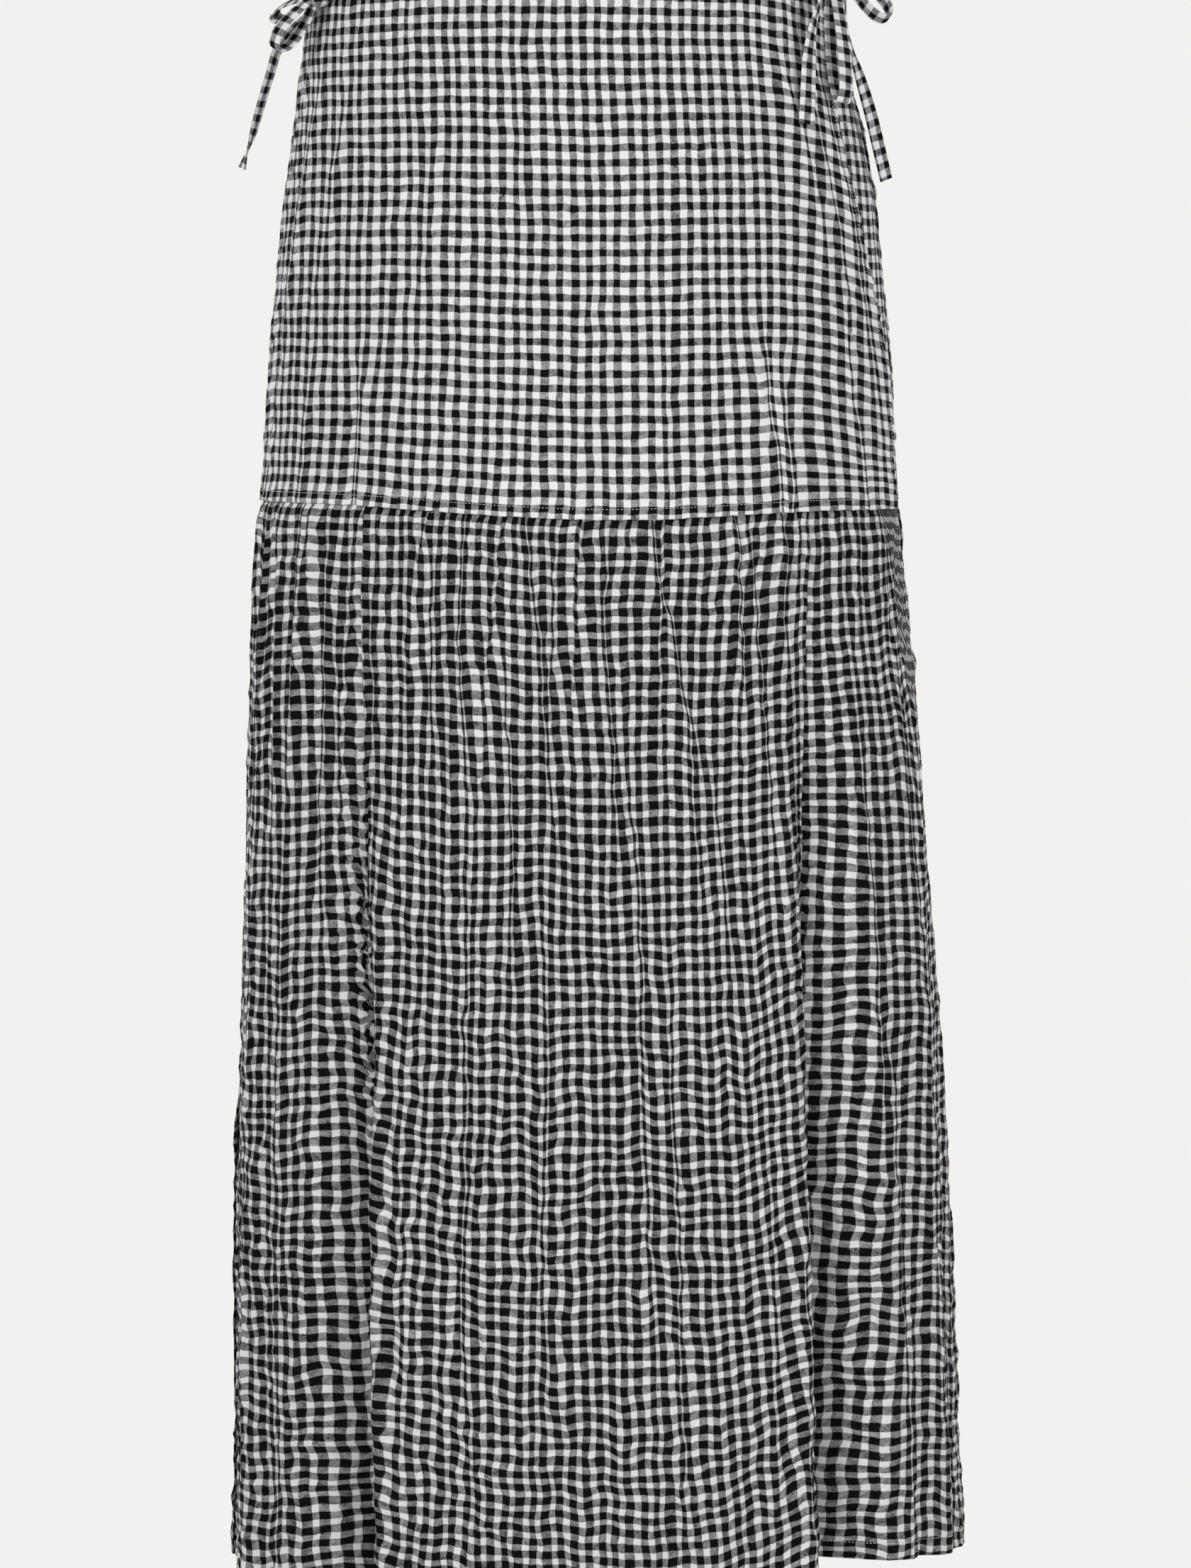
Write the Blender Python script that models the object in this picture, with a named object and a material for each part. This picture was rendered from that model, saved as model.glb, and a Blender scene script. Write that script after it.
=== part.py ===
"""Wrap maxi skirt, worn and hollow: waistband, smooth yoke, gathered tier and two tied bows.

Metres, +Z up, the front faces -Y. The origin is the middle of the waist, at the waistband's top.
A place on the cloth is a turn in degrees round the waist, 0 at the front's middle, 90 at +X and
180 at the back's middle, and a drop in metres below the waistband's top.
"""

import bpy
import numpy as np


def table(names, *rows):
    """A table with named columns, as a dictionary of arrays."""
    return dict(zip(names.split(), np.array(rows, float).T))


# Cloth
WALL = 0.0012
BAND_WALL = 0.0020
BAND_PROUD = 0.0006
GAP = 0.0003
BAND_DEEP = 0.040

# The hollow form, a row for each level: two half ellipses, front and back, on one width
FORM = table(
    "drop   centre  half    front   back",
    (0.000, -0.003, 0.1440, 0.1010, 0.0960),
    (0.040, -0.003, 0.1510, 0.1070, 0.1030),
    (0.080, -0.003, 0.1572, 0.1155, 0.1130),
    (0.120, -0.001, 0.1642, 0.1225, 0.1240),
    (0.160, 0.000, 0.1710, 0.1280, 0.1320),
    (0.210, 0.000, 0.1765, 0.1330, 0.1380),
    (0.260, 0.000, 0.1810, 0.1375, 0.1415),
    (0.335, 0.000, 0.1862, 0.1420, 0.1445),
    (0.400, -0.001, 0.1895, 0.1450, 0.1470),
    (0.510, 0.001, 0.1960, 0.1500, 0.1510),
    (0.650, 0.004, 0.2038, 0.1560, 0.1570),
    (0.780, 0.005, 0.2096, 0.1610, 0.1620),
    (0.900, 0.008, 0.2130, 0.1650, 0.1660),
    (0.970, 0.009, 0.2165, 0.1670, 0.1680),
)

# The seam between yoke and tier, and the hem, round the waist
SEAM = table(
    "turn  drop",
    (-90, 0.3350),
    (-43, 0.3340),
    (5, 0.3405),
    (43, 0.3373),
    (75, 0.3385),
    (105, 0.3380),
    (180, 0.3370),
    (270, 0.3350),
)
HEM = table(
    "turn  drop",
    (-90, 0.9670),
    (-62, 0.9640),
    (-41, 0.9500),
    (-28, 0.9600),
    (0, 0.9650),
    (28, 0.9600),
    (43, 0.9420),
    (60, 0.9470),
    (90, 0.9600),
    (106, 0.9610),
    (137, 0.9520),
    (180, 0.9640),
    (223, 0.9530),
    (270, 0.9670),
)

# Where the wrap's layers start and end
LEFT_SIDE = -90.0
RIGHT_SIDE = 92.0
UNDER_END = -84.0
FREE_EDGE = table(
    "drop  turn",
    (0.000, 66.0),
    (0.040, 64.5),
    (0.100, 63.5),
    (0.134, 63.0),
    (0.180, 65.3),
    (0.227, 69.9),
    (0.262, 74.2),
    (0.300, 73.6),
    (0.335, 73.0),
    (0.358, 75.2),
    (0.389, 77.6),
    (0.416, 81.0),
    (0.448, 88.0),
    (0.543, 97.0),
    (0.700, 102.0),
    (0.970, 105.0),
)

# How far each layer stands off the form, level with the ground, so that the layers stay apart
OUTER_LAYER = table("turn  off", (-90, 0.0), (-30, 0.0016), (30, 0.0024), (110, 0.0024))
UNDER_LAYER = table("turn  off", (-90, -0.0052), (-20, -0.0046), (60, -0.0014), (92, 0.0))

# Folds of the tier that deepen towards the hem: depth there, and a sideways lean under its neighbour
FOLDS = table(
    "top  hem     width   depth    lean     starts",
    (-83, -83, 0.0150, 0.0070, 0.0000, 0.45),
    (-62, -63, 0.0130, 0.0060, 0.0000, 0.40),
    (-40.4, -41.6, 0.0140, 0.0500, 0.0200, 0.36),
    (-24, -25, 0.0200, 0.0030, 0.0000, 0.45),
    (-8, -9, 0.0220, 0.0040, 0.0000, 0.40),
    (10, 9, 0.0200, 0.0030, 0.0000, 0.50),
    (25, 26, 0.0200, 0.0040, 0.0000, 0.42),
    (42.6, 43.4, 0.0145, 0.0560, -0.0215, 0.36),
    (62, 62, 0.0130, 0.0060, 0.0000, 0.40),
    (79, 79, 0.0150, 0.0060, 0.0000, 0.50),
    (119, 120, 0.0200, 0.0160, 0.0000, 0.42),
    (137, 137, 0.0170, 0.0420, 0.0110, 0.36),
    (158, 159, 0.0220, 0.0150, 0.0000, 0.40),
    (180, 181, 0.0240, 0.0220, 0.0000, 0.38),
    (203, 202, 0.0210, 0.0130, 0.0000, 0.45),
    (223, 223, 0.0170, 0.0440, -0.0110, 0.36),
    (244, 243, 0.0200, 0.0180, 0.0000, 0.40),
)
FOLD_GROWTH = 1.15
LEFT_FOLD = 2
RIGHT_FOLD = 7
BACK_RIGHT_FOLD = 11
BACK_LEFT_FOLD = 15

# The level whose folds set the spacing of a panel's columns
LOW = 0.85

# The folds of the hidden front are wider and deeper, so that it lies inside the outer one
UNDER_WIDER = 1.6
UNDER_DEEPER = 1.08

# Gathers of the front's middle, where the tier is drawn up to the seam
FRONT_GATHERS = table(
    "turn  high    reach",
    (-35.4, 0.0016, 0.060),
    (-30.0, 0.0019, 0.085),
    (-25.6, 0.0015, 0.060),
    (-21.5, 0.0026, 0.150),
    (-17.4, 0.0022, 0.105),
    (-13.4, 0.0016, 0.070),
    (-9.2, 0.0025, 0.130),
    (-4.3, 0.0021, 0.160),
    (-0.9, 0.0018, 0.090),
    (1.9, 0.0015, 0.070),
    (4.8, 0.0026, 0.170),
    (7.3, 0.0020, 0.100),
    (10.1, 0.0024, 0.140),
    (12.6, 0.0016, 0.075),
    (16.0, 0.0022, 0.120),
    (19.4, 0.0014, 0.060),
    (23.0, 0.0022, 0.090),
    (26.0, 0.0015, 0.070),
    (28.9, 0.0026, 0.130),
    (32.2, 0.0020, 0.110),
    (36.6, 0.0015, 0.070),
)
GATHER_WIDE = 1.35
GATHER_RISE = 0.010
SIDE_GATHERS = table(
    "start  end  count",
    (-86, -45, 8),
    (48, 70, 5),
    (114, 134, 5),
    (141, 219, 16),
    (227, 266, 8),
)

# Ties: flat tubes of cloth, tied in a bow on each side of the waist
TIE_WIDE = 0.0100
TIE_WALL = 0.0013
TIE_STEP = 0.0090
KNOT_SIZE = (0.0068, 0.0062, 0.0070)
KNOT_SQUARE = 0.85
KNOTS = {"left": (-66.0, 0.0465, 0.0090), "right": (67.0, 0.0345, 0.0098)}
LOOP_POINTS = 17
LOOP_CUT = 0.085

# Loops: name, how they leave the knot, their tip's turn, drop and offset, spread and opening
LOOPS = {
    "left": (
        ("front", (-0.0032, -0.0040, -0.0034), (-67.0, 0.0800, 0.0300), (0.55, 0.67, -0.50), 0.0125),
        ("back", (-0.0036, 0.0032, -0.0021), (-83.0, 0.0590, 0.0210), (0.45, 0.30, -0.85), 0.0080),
    ),
    "right": (
        ("outer", (0.0080, -0.0008, 0.0012), (70.5, 0.0640, 0.0365), (0.55, 0.55, 0.60), 0.0125),
        ("front", (0.0002, 0.0008, -0.0042), (59.2, 0.1094, 0.0140), (0.60, -0.80, 0.0), 0.0105),
    ),
}

# Tails and straps, by places: turn, drop, offset from the form, twist about their own length
TAILS = {
    "bow_left_tail_front": table(
        "turn   drop    off     twist",
        (-68.4, 0.0524, 0.0069, 40),
        (-72.4, 0.0610, 0.0125, 45),
        (-74.0, 0.0705, 0.0176, 45),
        (-74.0, 0.0802, 0.0220, 47),
        (-74.0, 0.0916, 0.0240, 47),
        (-75.0, 0.1040, 0.0258, 45),
        (-76.0, 0.1160, 0.0272, 42),
        (-76.5, 0.1270, 0.0284, 34),
        (-76.5, 0.1365, 0.0301, 15),
        (-77.0, 0.1476, 0.0317, -12),
    ),
    "bow_left_tail_back": table(
        "turn    drop    off     twist",
        (-70.6, 0.0462, 0.0029, 0),
        (-77.0, 0.0550, 0.0018, 0),
        (-87.0, 0.0670, 0.0018, 0),
        (-96.0, 0.0790, 0.0022, 0),
        (-103.0, 0.0940, 0.0040, 0),
        (-107.0, 0.1110, 0.0045, 0),
        (-109.0, 0.1310, 0.0055, 0),
    ),
    "bow_right_tail_front": table(
        "turn  drop    off     twist",
        (64.6, 0.0380, 0.0129, -10),
        (57.2, 0.0500, 0.0156, -40),
        (54.3, 0.0655, 0.0130, -23),
        (52.3, 0.0860, 0.0100, 3),
        (50.9, 0.1000, 0.0090, 10),
        (48.7, 0.1210, 0.0080, 15),
    ),
    "bow_right_tail_side": table(
        "turn  drop    off     twist",
        (70.4, 0.0404, 0.0099, 40),
        (72.0, 0.0600, 0.0085, -8),
        (73.0, 0.0760, 0.0090, -6),
        (75.0, 0.0930, 0.0096, 18),
        (77.0, 0.1120, 0.0098, 32),
        (78.5, 0.1320, 0.0098, 36),
        (80.0, 0.1510, 0.0100, 35),
    ),
    "bow_left_strap_front": table(
        "turn  drop    off     twist",
        (-56.0, 0.0260, 0.0026, 0),
        (-60.0, 0.0330, 0.0045, 0),
        (-63.6, 0.0407, 0.0090, 0),
    ),
    "bow_left_strap_back": table(
        "turn  drop    off     twist",
        (-82.0, 0.0260, 0.0019, 0),
        (-75.0, 0.0318, 0.0045, 0),
        (-68.2, 0.0406, 0.0083, 0),
    ),
    "bow_right_strap_front": table(
        "turn  drop    off     twist",
        (58.5, 0.0200, 0.0041, 0),
        (61.5, 0.0240, 0.0058, 0),
        (64.6, 0.0290, 0.0098, 0),
    ),
    "bow_right_strap_back": table(
        "turn  drop    off     twist",
        (84.0, 0.0200, 0.0014, 0),
        (77.0, 0.0240, 0.0055, 0),
        (69.6, 0.0290, 0.0095, 0),
    ),
}

CLOTH_GREY = (0.19, 0.185, 0.19, 1.0)

# Small steps, in degrees and metres, that give the form's slope, and the samples round a panel
STEP_TURN = 0.05
STEP_DROP = 0.0005
SAMPLES = 801


def along(place, places, values):
    """The value at a place on a smooth curve through a table's rows."""
    slopes = np.gradient(values, places)
    place = np.clip(place, places[0], places[-1])
    i = np.clip(np.searchsorted(places, place, side="right") - 1, 0, len(places) - 2)
    span = places[i + 1] - places[i]
    t = (place - places[i]) / span
    start = (2 * t**3 - 3 * t**2 + 1) * values[i] + (t**3 - 2 * t**2 + t) * span * slopes[i]
    end = (3 * t**2 - 2 * t**3) * values[i + 1] + (t**3 - t**2) * span * slopes[i + 1]
    return start + end


def seam_drop(turn):
    return along(turn, SEAM["turn"], SEAM["drop"])


def hem_drop(turn):
    return along(turn, HEM["turn"], HEM["drop"])


def edge_turn(drop):
    return along(drop, FREE_EDGE["drop"], FREE_EDGE["turn"])


def fold_turn(fold, drop):
    """The turn of one fold's middle, which drifts from the seam to the hem."""
    down = np.clip((drop - SEAM["drop"][0]) / (HEM["drop"][0] - SEAM["drop"][0]), 0, 1)
    return FOLDS["top"][fold] + (FOLDS["hem"][fold] - FOLDS["top"][fold]) * down


def gather_rows():
    """All gathers: the front's own, and uneven rows on the sides and the back."""
    rows = [np.stack([FRONT_GATHERS[name] for name in ("turn", "high", "reach")], 1)]
    for start, end, count in zip(*SIDE_GATHERS.values()):
        k = np.arange(int(count))
        pitch = (end - start) / count
        turn = start + pitch * (k + 0.5 + 0.22 * np.sin(2.4 * k + start))
        high = 0.0020 + 0.0006 * np.sin(1.7 * k + end)
        reach = 0.110 + 0.045 * np.sin(2.9 * k + start)
        rows.append(np.stack([turn, high, reach], 1))
    return np.concatenate(rows)


GATHERS = gather_rows()


def gathered(turn, drop):
    """Height of the gathers over the cloth: soft upright ridges that fade below the seam."""
    below = np.maximum(drop - seam_drop(turn), 0)
    rise = 1 - np.exp(-below / GATHER_RISE)
    high = np.zeros(np.broadcast(turn, drop).shape)
    for at, height, reach in GATHERS:
        ridge = np.exp(-(((turn - at) / GATHER_WIDE) ** 2))
        high = high + height * ridge * rise * np.exp(-((below / reach) ** 2))
    return high


def form(turn, drop, off=0.0, under=False):
    """The garment's form: two half ellipses at each level, pressed in and aside along the folds."""
    centre, half, front, back = (
        along(drop, FORM["drop"], FORM[name]) for name in ("centre", "half", "front", "back")
    )
    deep = np.where(np.cos(np.radians(turn)) > 0, front, back)
    wider, deeper = (UNDER_WIDER, UNDER_DEEPER) if under else (1.0, 1.0)
    inward = np.zeros(np.broadcast(turn, drop).shape) - off
    aside = np.zeros_like(inward)
    reach = np.hypot(half * np.cos(np.radians(turn)), deep * np.sin(np.radians(turn)))
    for k, starts in enumerate(FOLDS["starts"]):
        grown = np.clip((drop - starts) / (HEM["drop"][0] - starts), 0, None) ** FOLD_GROWTH
        away = np.radians(turn - fold_turn(k, drop)) * reach / (FOLDS["width"][k] * wider)
        dip = np.exp(-(away**2)) * grown
        inward = inward + FOLDS["depth"][k] * deeper * dip
        aside = aside + FOLDS["lean"][k] * dip
    t = np.radians(turn) + aside / reach
    x = centre + (half - inward) * np.sin(t)
    y = -(deep - inward) * np.cos(t)
    return np.stack([x, y, -drop + 0 * x], -1)


def outward(turn, drop, off=0.0, under=False):
    """The form's normal, from small steps across and down."""
    across = form(turn + STEP_TURN, drop, off, under) - form(turn - STEP_TURN, drop, off, under)
    up = form(turn, drop - STEP_DROP, off, under) - form(turn, drop + STEP_DROP, off, under)
    n = np.cross(across, up)
    return n / np.linalg.norm(n, axis=-1, keepdims=True)


def columns(start, end, count, even):
    """Turns from start to end, spaced partly by the angle and partly by the length round a fold."""
    fine = np.linspace(start, end, SAMPLES)
    walked = np.linalg.norm(np.diff(form(fine, LOW + 0 * fine), axis=0), axis=1)
    walked = np.concatenate([[0], np.cumsum(walked)]) / walked.sum()
    shares = np.linspace(0, 1, SAMPLES)
    mixed = even * shares + (1 - even) * walked
    return np.interp(np.linspace(0, 1, count + 1), mixed, shares)


def at_gathers(shares, start, end):
    """Columns of a panel, with the nearest ones moved to the gathers' crests and troughs."""
    crests = np.sort(GATHERS[:, 0])
    places = np.concatenate([crests, 0.5 * (crests[1:] + crests[:-1])])
    places = (places - start) / (end - start)
    for at in places[(places > shares[1]) & (places < shares[-2])]:
        shares[np.argmin(np.abs(shares - at))] = at
    return shares


def faces_of_wall(across, down):
    """Triangles of a closed wall: its outer side, its inner side and four rims. Both sides are
    split the same way, so that they stay apart where the wall twists."""
    first = np.arange((across + 1) * (down + 1)).reshape(across + 1, down + 1)
    second = first + first.size

    def strip(a, b, c, d):
        a, b, c, d = a.ravel(), b.ravel(), c.ravel(), d.ravel()
        return np.concatenate([np.stack([a, b, c], 1), np.stack([a, c, d], 1)])

    def side(v):
        return strip(v[:-1, :-1], v[:-1, 1:], v[1:, 1:], v[1:, :-1])

    def rim(a, b):
        return strip(a[:-1], a[1:], b[1:], b[:-1])

    return np.concatenate([
        side(first),
        side(second)[:, ::-1],
        rim(first[:, 0], second[:, 0]),
        rim(first[::-1, -1], second[::-1, -1]),
        rim(first[-1], second[-1]),
        rim(first[0, ::-1], second[0, ::-1]),
    ])


def cloth_material(name):
    """Cotton in the mean grey of its checks."""
    material = bpy.data.materials.new(name)
    material.use_nodes = True
    shader = material.node_tree.nodes["Principled BSDF"]
    shader.inputs["Base Color"].default_value = CLOTH_GREY
    shader.inputs["Roughness"].default_value = 0.9
    return material


def solid(name, points, faces):
    """One closed piece of cloth as its own object, with its own material."""
    mesh = bpy.data.meshes.new(name)
    mesh.from_pydata(points.tolist(), [], faces.tolist())
    mesh.materials.append(cloth_material(name))
    piece = bpy.data.objects.new(name, mesh)
    bpy.context.scene.collection.objects.link(piece)


def wall(name, turn, drop, off, thick, under=False):
    """A wall of cloth on a grid of turns and drops: its outer side at the layer's offset, its
    inner side a wall's thickness behind that along the normal."""
    outer = form(turn, drop, off, under)
    inner = outer - thick * outward(turn, drop, off, under)
    points = np.concatenate([outer.reshape(-1, 3), inner.reshape(-1, 3)])
    across, down = turn.shape[0] - 1, turn.shape[1] - 1
    solid(name, points, faces_of_wall(across, down))


def half_gap(turn, drop, under=False):
    """The turn that half the gap between two pieces takes up at this place."""
    step = form(turn + STEP_TURN, drop, 0.0, under) - form(turn - STEP_TURN, drop, 0.0, under)
    return GAP * STEP_TURN / np.linalg.norm(step, axis=-1)


def panel_grid(start, end, shares, rows, top, bottom, under=False):
    """Turns and drops of a panel between two edges, each given as turns for drops."""
    middle = 0.5 * (start(LOW) + end(LOW))
    turn = middle + 0 * shares[:, None] * rows[None, :]
    for _ in range(3):
        drop = top(turn) + (bottom(turn) - top(turn)) * rows[None, :]
        first = start(drop) + half_gap(start(drop), drop, under)
        last = end(drop) - half_gap(end(drop), drop, under)
        turn = first + (last - first) * shares[:, None]
    return turn, drop


def outer_off(turn):
    return along(turn, OUTER_LAYER["turn"], OUTER_LAYER["off"])


def under_off(turn):
    return along(turn, UNDER_LAYER["turn"], UNDER_LAYER["off"])


def back_off(turn):
    return 0 * turn


def fixed(turn):
    return lambda drop: turn + 0 * drop


def fold_line(fold):
    return lambda drop: fold_turn(fold, drop)


def make_waistband():
    """Three lengths of folded band that follow each other round the wrap."""
    pieces = (
        ("waistband_outer_front", fixed(LEFT_SIDE), edge_turn, outer_off, 22),
        ("waistband_back", fixed(RIGHT_SIDE), fixed(LEFT_SIDE + 360), back_off, 20),
        ("waistband_under_front", fixed(UNDER_END), fixed(RIGHT_SIDE), under_off, 20),
    )
    rows = np.linspace(0, 1, 3)
    for name, start, end, off, across in pieces:
        shares = np.linspace(0, 1, across + 1)
        turn, drop = panel_grid(start, end, shares, rows, fixed(0), fixed(BAND_DEEP - GAP))
        wall(name, turn, drop, off(turn) + BAND_PROUD, BAND_WALL)


def make_yoke():
    """The smooth upper skirt: outer front, back, and the front that lies beneath."""
    pieces = (
        ("yoke_outer_front", fixed(LEFT_SIDE), edge_turn, outer_off, 24),
        ("yoke_back", fixed(RIGHT_SIDE), fixed(LEFT_SIDE + 360), back_off, 22),
        ("yoke_under_front", fixed(UNDER_END), fixed(RIGHT_SIDE), under_off, 20),
    )
    rows = np.linspace(0, 1, 9)
    for name, start, end, off, across in pieces:
        shares = np.linspace(0, 1, across + 1)
        turn, drop = panel_grid(start, end, shares, rows, fixed(BAND_DEEP + 0.5 * GAP), seam_drop)
        wall(name, turn, drop, off(turn), WALL)


def tier_top(turn):
    return seam_drop(turn) + GAP


def make_tier():
    """Straight panels gathered to the yoke, joined along seams that lie in the deep folds."""
    pieces = (
        ("tier_front_left", fixed(LEFT_SIDE), fold_line(LEFT_FOLD), outer_off, 22, 0.5),
        ("tier_front_centre", fold_line(LEFT_FOLD), fold_line(RIGHT_FOLD), outer_off, 62, 0.75),
        ("tier_front_right", fold_line(RIGHT_FOLD), edge_turn, outer_off, 22, 0.5),
        ("tier_back_right", fixed(RIGHT_SIDE), fold_line(BACK_RIGHT_FOLD), back_off, 20, 0.5),
        ("tier_back_centre", fold_line(BACK_RIGHT_FOLD), fold_line(BACK_LEFT_FOLD), back_off, 42, 0.6),
        ("tier_back_left", fold_line(BACK_LEFT_FOLD), fixed(LEFT_SIDE + 360), back_off, 20, 0.5),
    )
    rows = np.linspace(0, 1, 15) ** 1.3
    for name, start, end, off, across, even in pieces:
        shares = columns(start(LOW), end(LOW), across, even)
        shares = at_gathers(shares, start(SEAM["drop"][0]), end(SEAM["drop"][0]))
        turn, drop = panel_grid(start, end, shares, rows, tier_top, hem_drop)
        wall(name, turn, drop, off(turn) + gathered(turn, drop), WALL)


def make_under_tier():
    """The tier of the front that lies beneath, on wider folds so that it clears the outer one."""
    shares = columns(UNDER_END, RIGHT_SIDE, 38, 0.45)
    rows = np.linspace(0, 1, 11) ** 1.2
    turn, drop = panel_grid(fixed(UNDER_END), fixed(RIGHT_SIDE), shares, rows, tier_top, hem_drop, True)
    wall("tier_under_front", turn, drop, under_off(turn), WALL, True)


def tie(name, path, wide_way):
    """A flat tie along a path, its width turned as the second list says at each point."""
    ahead = np.gradient(path, axis=0)
    ahead /= np.linalg.norm(ahead, axis=1, keepdims=True)
    wide_way = wide_way - (wide_way * ahead).sum(1, keepdims=True) * ahead
    wide_way /= np.linalg.norm(wide_way, axis=1, keepdims=True)
    face_way = np.cross(ahead, wide_way)
    grid = path[:, None] + wide_way[:, None] * (np.array([-0.5, 0.5]) * TIE_WIDE)[None, :, None]
    first = grid + 0.5 * TIE_WALL * face_way[:, None]
    second = grid - 0.5 * TIE_WALL * face_way[:, None]
    points = np.concatenate([first.reshape(-1, 3), second.reshape(-1, 3)])
    solid(name, points, faces_of_wall(len(path) - 1, 1)[:, ::-1])


def place(turn, drop, off):
    """A point that stands off the form by a distance."""
    turn, drop = np.array(turn, float), np.array(drop, float)
    return form(turn, drop) + outward(turn, drop) * off


def make_knot(name, middle):
    """A small pulled knot: a ball squared off a little and scaled to its size."""
    bpy.ops.mesh.primitive_uv_sphere_add(segments=12, ring_count=8, radius=1.0)
    piece = bpy.context.object
    piece.name = piece.data.name = name
    mesh = piece.data
    p = np.array([v.co for v in mesh.vertices])
    p = np.sign(p) * np.abs(p) ** KNOT_SQUARE * np.array(KNOT_SIZE)
    mesh.vertices.foreach_set("co", (p + np.array(middle)).ravel())
    mesh.materials.append(cloth_material(name))


def loop_path(start, tip, spread, opening):
    """A bow's loop from the knot to its tip and back, open by opening along spread."""
    spread = np.array(spread)
    way = tip - start
    spread = spread - way * (spread @ way) / (way @ way)
    spread /= np.linalg.norm(spread)
    t = np.linspace(LOOP_CUT, 1 - LOOP_CUT, LOOP_POINTS)[:, None]
    out = 0.5 - 0.5 * np.cos(2 * np.pi * t)
    side = 0.5 * opening * np.sin(2 * np.pi * t) * (0.58 + 0.72 * out)
    return start + way * out + spread * side


def make_tail(name, rows):
    """A tie's free end or its strap, through a table of places, turned about itself by twist."""
    path = place(rows["turn"], rows["drop"], rows["off"][:, None])
    steps = np.concatenate([[0], np.cumsum(np.linalg.norm(np.diff(path, axis=0), axis=1))])
    count = max(4, int(steps[-1] / TIE_STEP) + 1)
    at = np.linspace(0, steps[-1], count)
    path = np.stack([along(at, steps, path[:, k]) for k in range(3)], 1)
    n = outward(along(at, steps, rows["turn"]), along(at, steps, rows["drop"]))
    twist = np.radians(along(at, steps, rows["twist"]))[:, None]
    flat = np.cross(n, np.gradient(path, axis=0))
    flat /= np.linalg.norm(flat, axis=1, keepdims=True)
    tie(name, path, np.cos(twist) * flat + np.sin(twist) * n)


def make_bows():
    """The bow on each side: its knot, two straps from the waistband, two loops and two tails."""
    for side, middle in KNOTS.items():
        knot = place(*middle)
        make_knot(f"bow_{side}_knot", knot)
        for name, leaves, tip, spread, opening in LOOPS[side]:
            start = knot + np.array(leaves)
            path = loop_path(start, place(*tip), spread, opening)
            across = np.cross(place(*tip) - start, np.array(spread))
            tie(f"bow_{side}_loop_{name}", path, np.tile(across, (LOOP_POINTS, 1)))
    for name, rows in TAILS.items():
        make_tail(name, rows)


def main():
    for other in list(bpy.data.objects):
        bpy.data.objects.remove(other)
    make_waistband()
    make_yoke()
    make_tier()
    make_under_tier()
    make_bows()


main()
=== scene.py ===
"""Wrap maxi skirt in black and white gingham cotton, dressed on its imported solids.

Metres, +Z up, the front faces -Y. The origin is the middle of the waist, at the waistband's top.
A place on the cloth is a turn in degrees round the waist, 0 at the front's middle, 90 at +X and
180 at the back's middle, and a drop in metres below the waistband's top.
"""

import bpy
import numpy as np
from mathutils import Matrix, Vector


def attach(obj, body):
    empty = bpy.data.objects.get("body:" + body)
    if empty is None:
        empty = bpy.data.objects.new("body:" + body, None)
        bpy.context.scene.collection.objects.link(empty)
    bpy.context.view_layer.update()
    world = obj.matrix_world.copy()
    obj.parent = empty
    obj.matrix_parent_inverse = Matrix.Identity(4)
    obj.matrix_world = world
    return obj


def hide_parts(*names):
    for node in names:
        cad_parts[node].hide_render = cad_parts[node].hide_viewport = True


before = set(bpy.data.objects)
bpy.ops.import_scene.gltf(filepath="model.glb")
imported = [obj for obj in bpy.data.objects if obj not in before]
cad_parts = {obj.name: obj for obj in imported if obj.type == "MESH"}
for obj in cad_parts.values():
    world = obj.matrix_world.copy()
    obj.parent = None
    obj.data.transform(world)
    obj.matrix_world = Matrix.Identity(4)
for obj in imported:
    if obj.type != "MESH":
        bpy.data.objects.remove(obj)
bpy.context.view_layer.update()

# Camera: a long lens in front of the skirt, a little below its waistband, and looking slightly
# down, so that the waistband is cut off at the top and the hem at the bottom.
LENS = 109.4
SENSOR = 36.0
CAMERA_AT = (0.0084, -2.8, -0.22)
LOOKS_DOWN = 5.765


def placed(name, data):
    """An object of a mesh, a lamp or a camera, put into the scene."""
    made = bpy.data.objects.new(name, data)
    bpy.context.scene.collection.objects.link(made)
    return made


camera = placed("camera", bpy.data.cameras.new("camera"))
camera.data.lens = LENS
camera.data.sensor_width = SENSOR
camera.location = CAMERA_AT
camera.rotation_euler = (np.radians(90 - LOOKS_DOWN), 0, 0)
bpy.context.scene.camera = camera

# Studio: a pale paper backdrop and floor in one warm white, one large soft light in front at the
# left, a weaker one at the right and two behind. The skirt hangs just clear of the floor.
bpy.context.scene.view_settings.view_transform = "Standard"
PAPER = (0.896, 0.879, 0.864, 1.0)
DAYLIGHT = (1.0, 0.99, 0.98, 1.0)
AMBIENT = 0.32
FLOOR_MATTE = (0.8, 0.79, 0.78, 1.0)
FLOOR_DROP = 1.07
FLOOR_HALF = 30.0


def node(tree, kind, inputs=(), **settings):
    """One node of a tree: its settings by name, its inputs each a value or another's socket."""
    made = tree.nodes.new(kind)
    for name, value in settings.items():
        setattr(made, name, value)
    for socket, value in dict(inputs).items():
        if isinstance(value, bpy.types.NodeSocket):
            tree.links.new(value, made.inputs[socket])
        else:
            made.inputs[socket].default_value = value
    return made


def seen_apart(tree, shown, cast, output):
    """One shader for the camera and another for the light it casts, mixed by the kind of ray."""
    seen = node(tree, "ShaderNodeLightPath").outputs["Is Camera Ray"]
    both = node(tree, "ShaderNodeMixShader", {0: seen, 1: cast.outputs[0], 2: shown.outputs[0]})
    node(tree, output, {"Surface": both.outputs[0]})


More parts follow.
